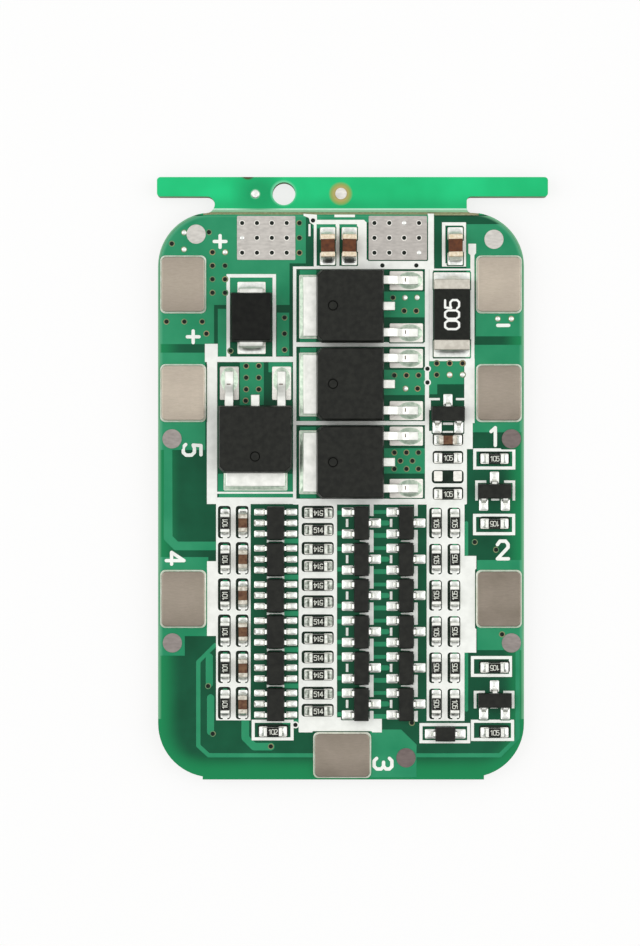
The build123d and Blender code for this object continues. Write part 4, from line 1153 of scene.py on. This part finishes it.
# Chip resistors: alumina, glaze, wrapped ends, number and solder
resistor = {
    "length": 1.6, "width": 0.78, "height": 0.45, "wrap": 0.28, "glaze": (1.02, 0.75, 0.05), "land": 0.4,
    "rise": 0.34, "askew": (0.015, 1.2, 5), "figure": 0.42, "line": 0.06, "pitch": 0.62,
    "leftEnd": 262, "rightStart": 345, "footStart": 720,  # where the numbers change, in pixels
    # the chips that came off the reel the other way up, in pixels
    "turned": [(318.3, 513), (318.3, 549.2), (318.3, 566.3), (318.3, 585.4), (318.3, 602.5), (318.3, 638.7),
               (318.3, 675), (436.3, 523), (436.3, 559.2), (436.3, 631.6), (454.7, 523), (454.7, 704.1),
               (494.5, 523.7), (494.5, 667.6)],
}
turnedChips = photoShape(*resistor["turned"])
numberPlaces = {}
for x, y, z, turn in standing(chipBoxes):
    px = photo["originPixel"][0] + x * photo["pixelsPerMm"]
    py = photo["originPixel"][1] - y * photo["pixelsPerMm"]
    middleNumber = "102" if py > resistor["footStart"] else "514"
    number = "101" if px < resistor["leftEnd"] else "105" if px > resistor["rightStart"] else middleNumber
    halfTurn = math.pi if isNear((x, y), turnedChips, 0.3) else 0.0
    numberPlaces.setdefault(number, []).append((x, y, z, turn + halfTurn))
length, width, height = resistor["length"], resistor["width"], resistor["height"]
core = finishMesh(boxMesh((length - 0.08, width - 0.02, height - 0.06), (0, 0, height / 2 - 0.01), 0.02, 1))
glass = finishMesh(boxMesh(resistor["glaze"], (0, 0, height - 0.03), 0.02))
ends = finishMesh(endCap(length, width, height - 0.005, resistor["wrap"]))
fillet = solderFillet(length / 2 - 0.06, length / 2 + resistor["land"], width, resistor["rise"], 0.03)
fillet = finishMesh(mirrored(fillet))
resistorMeshes, digitMeshes = [], []
for number, places in sorted(numberPlaces.items()):
    # the rows beside the monitors were fluxed more, so their metal is duller
    plate, joint = (fluxedPlate, fluxedSolder) if number == "514" else (tinPlate, solder)
    for mesh, material in ((core, alumina), (glass, glaze), (ends, plate)):
        resistorMeshes.append(seatedMesh(mesh, places, material, *resistor["askew"]))
    resistorMeshes.append(seatedMesh(fillet, places, joint))
    digits = flatLayer("digits", figures(number, 0, 0, resistor["figure"], resistor["line"], 0, resistor["pitch"]),
                       [], height - 0.01, height + 0.006)
    digitMeshes.append(seatedMesh(digits, places, codeInk))
addJoined("chip_resistors", resistorMeshes + digitMeshes, resistorNodes)

# Ceramic capacitors, small and large
capacitors = {
    "small": {"size": (1.6, 0.8, 0.8), "wrap": 0.42, "land": 0.4, "rise": 0.5, "body": greyTitanate,
              "plate": dullPlate},
    "large": {"size": (2.0, 1.25, 1.1), "wrap": 0.48, "land": 0.62, "rise": 0.75, "body": titanate,
              "plate": capPlate},
    "shift": 0.015, "skew": 1.5, "bevel": 0.09,
}


def makeCapacitors(name, values, nodes, seed):
    places = standing(firstBoxes(nodes))
    length, width, height = values["size"]
    askew = (capacitors["shift"], capacitors["skew"], seed)
    stack = boxMesh((length - 0.1, width - 0.05, height - 0.05), (0, 0, height / 2 - 0.005), 0.05)
    caps = endCap(length, width, height - 0.005, values["wrap"], capacitors["bevel"])
    foot = solderFillet(length / 2 - 0.1, length / 2 + values["land"], width, values["rise"], 0.03, 6)
    pieces = [(stack, values["body"], *askew), (caps, values["plate"], *askew), (mirrored(foot), solder)]
    addSeated(name, places, pieces, nodes)


makeCapacitors("ceramic_capacitors", capacitors["small"], capacitorNodes, 11)
makeCapacitors("output_capacitors", capacitors["large"], bigCapacitorNodes, 12)

# Small moulded cases with formed leads
smallCases = {
    "transistor": {"size": (1.3, 2.92), "height": 1.0, "out": 0.55, "leadWidth": 0.42, "land": (1.0, 0.78),
                   "ends": ((-1, -0.95), (-1, 0.95), (1, 0.0))},
    "monitor": {"size": (1.55, 2.92), "height": 1.1, "out": 0.6, "leadWidth": 0.38, "land": (0.95, 0.55),
                "ends": tuple((side, y) for side in (-1, 1) for y in (-0.95, 0.0, 0.95))},
    "diode": {"size": (1.75, 1.3), "height": 0.9, "out": 0.4, "leadWidth": 0.4, "land": (1.0, 0.8),
              "ends": ((-1, 0.0), (1, 0.0))},
    "lift": 0.08, "leadThickness": 0.14, "toe": 0.5, "draft": 8, "shift": 0.01, "skew": 0.6, "rise": 0.1,
}


def makeSmallCases(name, values, nodes, seed, alongY=True):
    places = standing(firstBoxes(nodes), alongY)
    askew = (smallCases["shift"], smallCases["skew"], seed)
    thick, (landLong, landWide) = smallCases["leadThickness"], values["land"]
    middle, face = values["height"] / 2, values["size"][0] / 2
    case = caseMesh(*values["size"], smallCases["lift"], middle, values["height"], smallCases["draft"])
    leads, feet = bmesh.new(), bmesh.new()
    path = [(face - 0.15, middle), (face + 0.14, middle), (face + 0.3, thick / 2),
            (face + values["out"], thick / 2)]
    toe = face + values["out"] + smallCases["toe"]
    for side, y in values["ends"]:
        addInto(leads, bentStrip([(side * x, z) for x, z in path], thick, values["leadWidth"], y))
        addInto(feet, footSolder(toe - landLong + 0.03, toe - 0.02, landWide - 0.03, y, smallCases["rise"], side))
    pieces = [(case, mouldedEpoxy, *askew), (leads, tinPlate, *askew), (feet, solder)]
    addSeated(name, places, pieces, nodes)


makeSmallCases("small_transistors", smallCases["transistor"], transistorNodes, 21)
makeSmallCases("cell_monitors", smallCases["monitor"], perCell("monitor"), 22)
makeSmallCases("polarity_diode_body", smallCases["diode"], ["polarity_diode"], 23, False)

# Power transistors: drafted case on a solder tab, outer leads stepped down, middle lead cropped
fet = {
    "length": 5.9, "width": 6.4, "height": 2.25, "lift": 0.05, "parting": 1.1, "draft": 7, "chamfer": 0.45,
    "tabOut": 1.15, "tabIn": 3.6, "tabWidth": 5.2, "tabThick": 0.5, "leadPitch": 2.286, "leadWidth": 0.75,
    "leadThick": 0.45, "leadOut": 3.0, "leadZ": 1.075, "stubOut": 0.95, "dimpleRadius": 0.5, "dimpleInset": 1.45,
    "dimpleSteps": ((0.93, 0.02), (0.88, 0.075), (0.6, 0.085), (0.25, 0.085)), "pinMark": (0.86, 0.7),
    "bend": (0.75, 1.8),  # where an outer lead starts down and where it lands
    "crook": (0.13, 0.34, 0.05), "mound": (1.1, 0.76, 0.24), "moundIn": 0.72,
    "tabSolder": (0.3, 0.6, 5.48, 0.16),  # past the tab, under the case, width and height
}


def dimpledCase(values):
    # the case with the ejector-pin dimple pressed into its top
    bm = caseMesh(values["length"], values["width"], values["lift"], values["parting"], values["height"],
                  values["draft"], values["chamfer"], 0.09, 3)
    x, high = values["dimpleInset"] - values["length"] / 2, values["height"]
    ring = disc(x, 0, values["dimpleRadius"], 24)
    top = max(bm.faces, key=lambda f: (round(f.calc_center_median().z, 4), f.calc_area()))
    outline = [Vector((v.co.x, v.co.y)) for v in top.verts]
    bmesh.ops.delete(bm, geom=[top], context="FACES_ONLY")
    count = len(outline)
    faces = [list(range(count)), list(range(count, count + len(ring)))]
    flat = delaunay_2d_cdt(outline + [Vector(p) for p in ring], [], faces, 0, 1e-6, True)
    made = [bm.verts.new((c.x, c.y, high)) for c in flat[0]]
    for triangle, origin in zip(flat[2], flat[5]):
        if 0 in origin and 1 not in origin:
            bm.faces.new([made[i] for i in triangle])
    rings = [
        [bm.verts.new((x + (px - x) * shrink, py * shrink, high - drop)) for px, py in ring]
        for shrink, drop in ((1.0, 0.0), *values["dimpleSteps"])
    ]
    stitch(bm, rings)
    bm.faces.new(rings[-1])
    return bm


fetPlaces = standing(firstBoxes(f"{name}_case" for name in fetNames), True)
caseHalf, leadZ, footZ, pitch = fet["length"] / 2, fet["leadZ"], fet["leadThick"] / 2, fet["leadPitch"]
tabLong, leadEnd = fet["tabOut"] + fet["tabIn"], caseHalf + fet["leadOut"]
leadframe = boxMesh((tabLong, fet["tabWidth"], fet["tabThick"]),
                    (-caseHalf - fet["tabOut"] + tabLong / 2, 0, fet["tabThick"] / 2), 0.07, 3)
bendStart, bendEnd = (caseHalf + reach for reach in fet["bend"])
bent = [(caseHalf - 0.4, leadZ), (bendStart, leadZ), (bendEnd, footZ), (leadEnd, footZ)]
cropped = [(caseHalf - 0.4, leadZ), (caseHalf + 0.4, leadZ), (caseHalf + fet["stubOut"], leadZ)]
for y, path in ((-pitch, bent), (0.0, cropped), (pitch, bent)):
    addInto(leadframe, bentStrip(path, fet["leadThick"], fet["leadWidth"], y, 0.04))
joints, crooks = bmesh.new(), bmesh.new()
for y in (-pitch, pitch):
    # a small dark mark in each outer lead's crook: painted reflection
    addInto(crooks, boxMesh(fet["crook"], (bendEnd + 0.06, y + 0.05, fet["leadThick"] + 0.06), 0.02))
    addInto(joints, ovalSolder(leadEnd - fet["moundIn"], y, *fet["mound"]))
past, under, width, rise = fet["tabSolder"]
addInto(joints, footSolder(-caseHalf - fet["tabOut"] - past, -caseHalf + under, width, 0.0, rise))
# a dark ring sunk in the dimple: painted shade
pinRing, pinMiddle = [disc(fet["dimpleInset"] - caseHalf, 0, fet["dimpleRadius"] * share, 24)
                      for share in fet["pinMark"]]
pinFloor = flatLayer("pin mark", [pinRing], [pinMiddle], fet["height"] - 0.11, fet["height"] - 0.07)
addSeated("power_transistors", fetPlaces, [
    (dimpledCase(fet), mouldedEpoxy), (pinFloor, pinMark), (leadframe, tinPlate), (joints, jointSolder),
    (crooks, creaseReflection),
], [f"{name}_{part}" for name in fetNames for part in ("case", "leadframe")])

# Surge diode: a drafted case with flat leads folded down its ends
surge = {
    "length": 4.35, "width": 3.65, "height": 2.2, "lift": 0.15, "parting": 1.0, "draft": 7, "lead": 2.05,
    "thick": 0.22, "out": 0.42, "shoulder": 0.62, "under": 1.35, "land": 0.5, "rise": 0.55,
}
surgeCase = caseMesh(surge["length"], surge["width"], surge["lift"], surge["parting"], surge["height"],
                     surge["draft"], 0.0, 0.1, 3)
surgeLeads, surgeSolder = bmesh.new(), bmesh.new()
outer, half = surge["length"] / 2 + surge["out"], surge["thick"] / 2
path = [(outer - surge["shoulder"], surge["parting"] + half), (outer - half, surge["parting"] + half),
        (outer - half, half), (outer - surge["under"], half)]
for side in (-1, 1):
    addInto(surgeLeads, bentStrip([(side * x, z) for x, z in path], surge["thick"], surge["lead"], 0.0, 0.03))
    fillet = solderFillet(outer - 0.12, outer + surge["land"], surge["lead"] + 0.3, surge["rise"], 0.04, 6)
    addInto(surgeSolder, flipped(fillet) if side < 0 else fillet)
addSeated("surge_diode_body", standing(firstBoxes(["surge_diode"])), [
    (surgeCase, deepEpoxy), (surgeLeads, tinPlate), (surgeSolder, solder),
], ["surge_diode"])

# Current shunt: a coated resistive plate between broad plated ends
shunt = {"length": 6.2, "width": 3.1, "height": 0.6, "wrap": 0.9, "land": 0.58, "rise": 0.45, "bevel": 0.08,
         "figure": 1.22, "line": 0.19, "pitch": 0.74}
length, width, height, wrap = shunt["length"], shunt["width"], shunt["height"], shunt["wrap"]
plate = boxMesh((length - 2 * wrap + 0.1, width, height - 0.06), (0, 0, height / 2), 0.05)
shuntFeet = solderFillet(length / 2 - 0.08, length / 2 + shunt["land"], width, shunt["rise"], 0.03, 6)
shuntDigits = flatLayer("digits", figures("005", 0, 0, shunt["figure"], shunt["line"], 0, shunt["pitch"]), [],
                        height - 0.06, height - 0.02)
addSeated("current_shunt", standing(firstBoxes(["shunt_element"])), [
    (shuntDigits, whiteInk), (plate, glaze), (endCap(length, width, height, wrap, shunt["bevel"]), shuntPlate),
    (mirrored(shuntFeet), solder),
], ["shunt_element", "shunt_caps"])

# Nickel tabs: cut from rolled strip, edges rolled over, a little dished by the weld, in a bead of solder
nickelTab = {
    "corner": 0.42, "edge": 0.07, "bead": 0.13, "beadHigh": 0.26, "beadIn": 0.04,
    "dish": ((0.45, 0.0), (0.8, 0.006), (1.3, 0.01)),
    # how much darker each tab's nickel is, all over
    "darkening": {"tab_pack_plus": 0.44, "tab_cell_5": 0.04, "tab_cell_4": 0.7, "tab_cell_3": 0.8, "tab_cell_2": 0.9,
                "tab_cell_1": 0.66, "tab_pack_minus": 0.12},
}


def ringsRound(box, steps, material, closed):
    # a tab's outline drawn in by each inset at its height, as a capped block or a closed hoop
    outline = boxRect(box, 0, 0, 0, 0, nickelTab["corner"], 6)
    (cx, cy), (wide, deep) = middleOf(box), sizeOf(box)[:2]
    bm = bmesh.new()
    rings = []
    for inset, z in steps:
        scaleX, scaleY = 1 - inset / (wide / 2), 1 - inset / (deep / 2)
        rings.append([bm.verts.new((cx + (x - cx) * scaleX, cy + (y - cy) * scaleY, z)) for x, y in outline])
    stitch(bm, rings, closed)
    if not closed:
        capEnds(bm, rings)
    mesh = finishMesh(bm)
    mesh.materials.append(material)
    return mesh


edge, out, beadIn = nickelTab["edge"], nickelTab["bead"], nickelTab["beadIn"]
for node in sorted(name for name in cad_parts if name.startswith("tab_")):
    box = islandBoxes(node)[0]
    low, high, rise = box[0][2], box[1][2], nickelTab["beadHigh"]
    profile = [(0.0, low), (0.0, high - edge), (edge * 0.3, high - edge * 0.3), (edge, high)]
    profile += [(inset, high - drop) for inset, drop in nickelTab["dish"]]
    hoop = [(beadIn, low), (-out, low), (-out, low + 0.02), (-out * 0.5, low + rise * 0.35), (-0.01, low + rise),
            (beadIn, low + rise)]
    tabMesh = joinedMesh("nickel_" + node, [
        ringsRound(box, profile, nickel, False), ringsRound(box, hoop, beadSolder, True),
    ])
    middle, reach = middleOf(box)[1] * millimetre, sizeOf(box)[1] / 2 * millimetre
    # 'across' runs from the tab's foot to its head, for the painted shade on the nickel
    for name, tones in (("darkening", [nickelTab["darkening"][node]] * len(tabMesh.vertices)),
                        ("across", [(v.co.y - middle) / reach for v in tabMesh.vertices])):
        tabMesh.attributes.new(name, "FLOAT", "POINT").data.foreach_set("value", tones)
    addObject("nickel_" + node, tabMesh, (), [node])

# Floor and light: two soft banks at the sides, as the shadows on the board show, and a dim dome
studio = {
    "floor": "#7c7c7b", "floorGlow": 0.77, "floorDepth": -2e-5, "world": 0.66, "dimSide": 0.12, "brightSide": 0.9,
    "zenith": 0.95, "bankPower": 0.45, "bankWide": 0.28, "bankLong": 0.46, "bankPlace": (0.26, 0.02, 0.24),
}
floorMaterial, tree, shader, place = newMaterial(
    "matt white card", {"Roughness": 0.9, "Base Color": studio["floor"], "Emission Color": "#ffffff"}
)
ray = addNode(tree, "ShaderNodeLightPath").outputs
feed(tree, shader.inputs["Emission Strength"], maths(tree, "MULTIPLY", ray["Is Camera Ray"], studio["floorGlow"]))
floorMesh = bpy.data.meshes.new("floor")
floorCorners = [(x, y, studio["floorDepth"]) for x, y in ((-1, -1), (1, -1), (1, 1), (-1, 1))]
floorMesh.from_pydata(floorCorners, [], [(0, 1, 2, 3)])
floorMesh.materials.append(floorMaterial)
sceneObject("floor", floorMesh)
world = bpy.data.worlds.new("studio")
world.use_nodes = True
bpy.context.scene.world = world
tree = world.node_tree
ray = addNode(tree, "ShaderNodeLightPath").outputs
sky = addNode(tree, "ShaderNodeTexCoord").outputs["Generated"]
aim = addNode(tree, "ShaderNodeSeparateXYZ", {"Vector": sky}).outputs
# the window wall is behind the board's head, under a pale ceiling: gloss shows bright flats and darker slopes
walls = remap(tree, aim["Y"], -0.6, 0.7, studio["dimSide"], studio["brightSide"])
tent = remap(tree, aim["Z"], 0.3, 0.85, walls, studio["zenith"], smooth=True)
glossy = addNode(
    tree, "ShaderNodeMix", {0: ray["Is Glossy Ray"], 2: studio["world"], 3: tent}, data_type="FLOAT"
).outputs[0]
background = tree.nodes["Background"]
background.inputs["Color"].default_value = srgb("#ffffff")
feed(tree, background.inputs["Strength"], maths(tree, "MAXIMUM", ray["Is Camera Ray"], glossy))
for side in (-1, 1):
    bankData = bpy.data.lights.new("side softbox", "AREA")
    bankData.shape = "RECTANGLE"
    bankData.energy = studio["bankPower"]
    bankData.size, bankData.size_y = studio["bankWide"], studio["bankLong"]
    bank = sceneObject("side softbox", bankData)
    x, y, z = studio["bankPlace"]
    bank.location = (side * x, y, z)
    bank.rotation_euler = (-bank.location).to_track_quat("-Z", "Y").to_euler()
print("floor and lights set")
bpy.context.scene.view_settings.view_transform = "Standard"
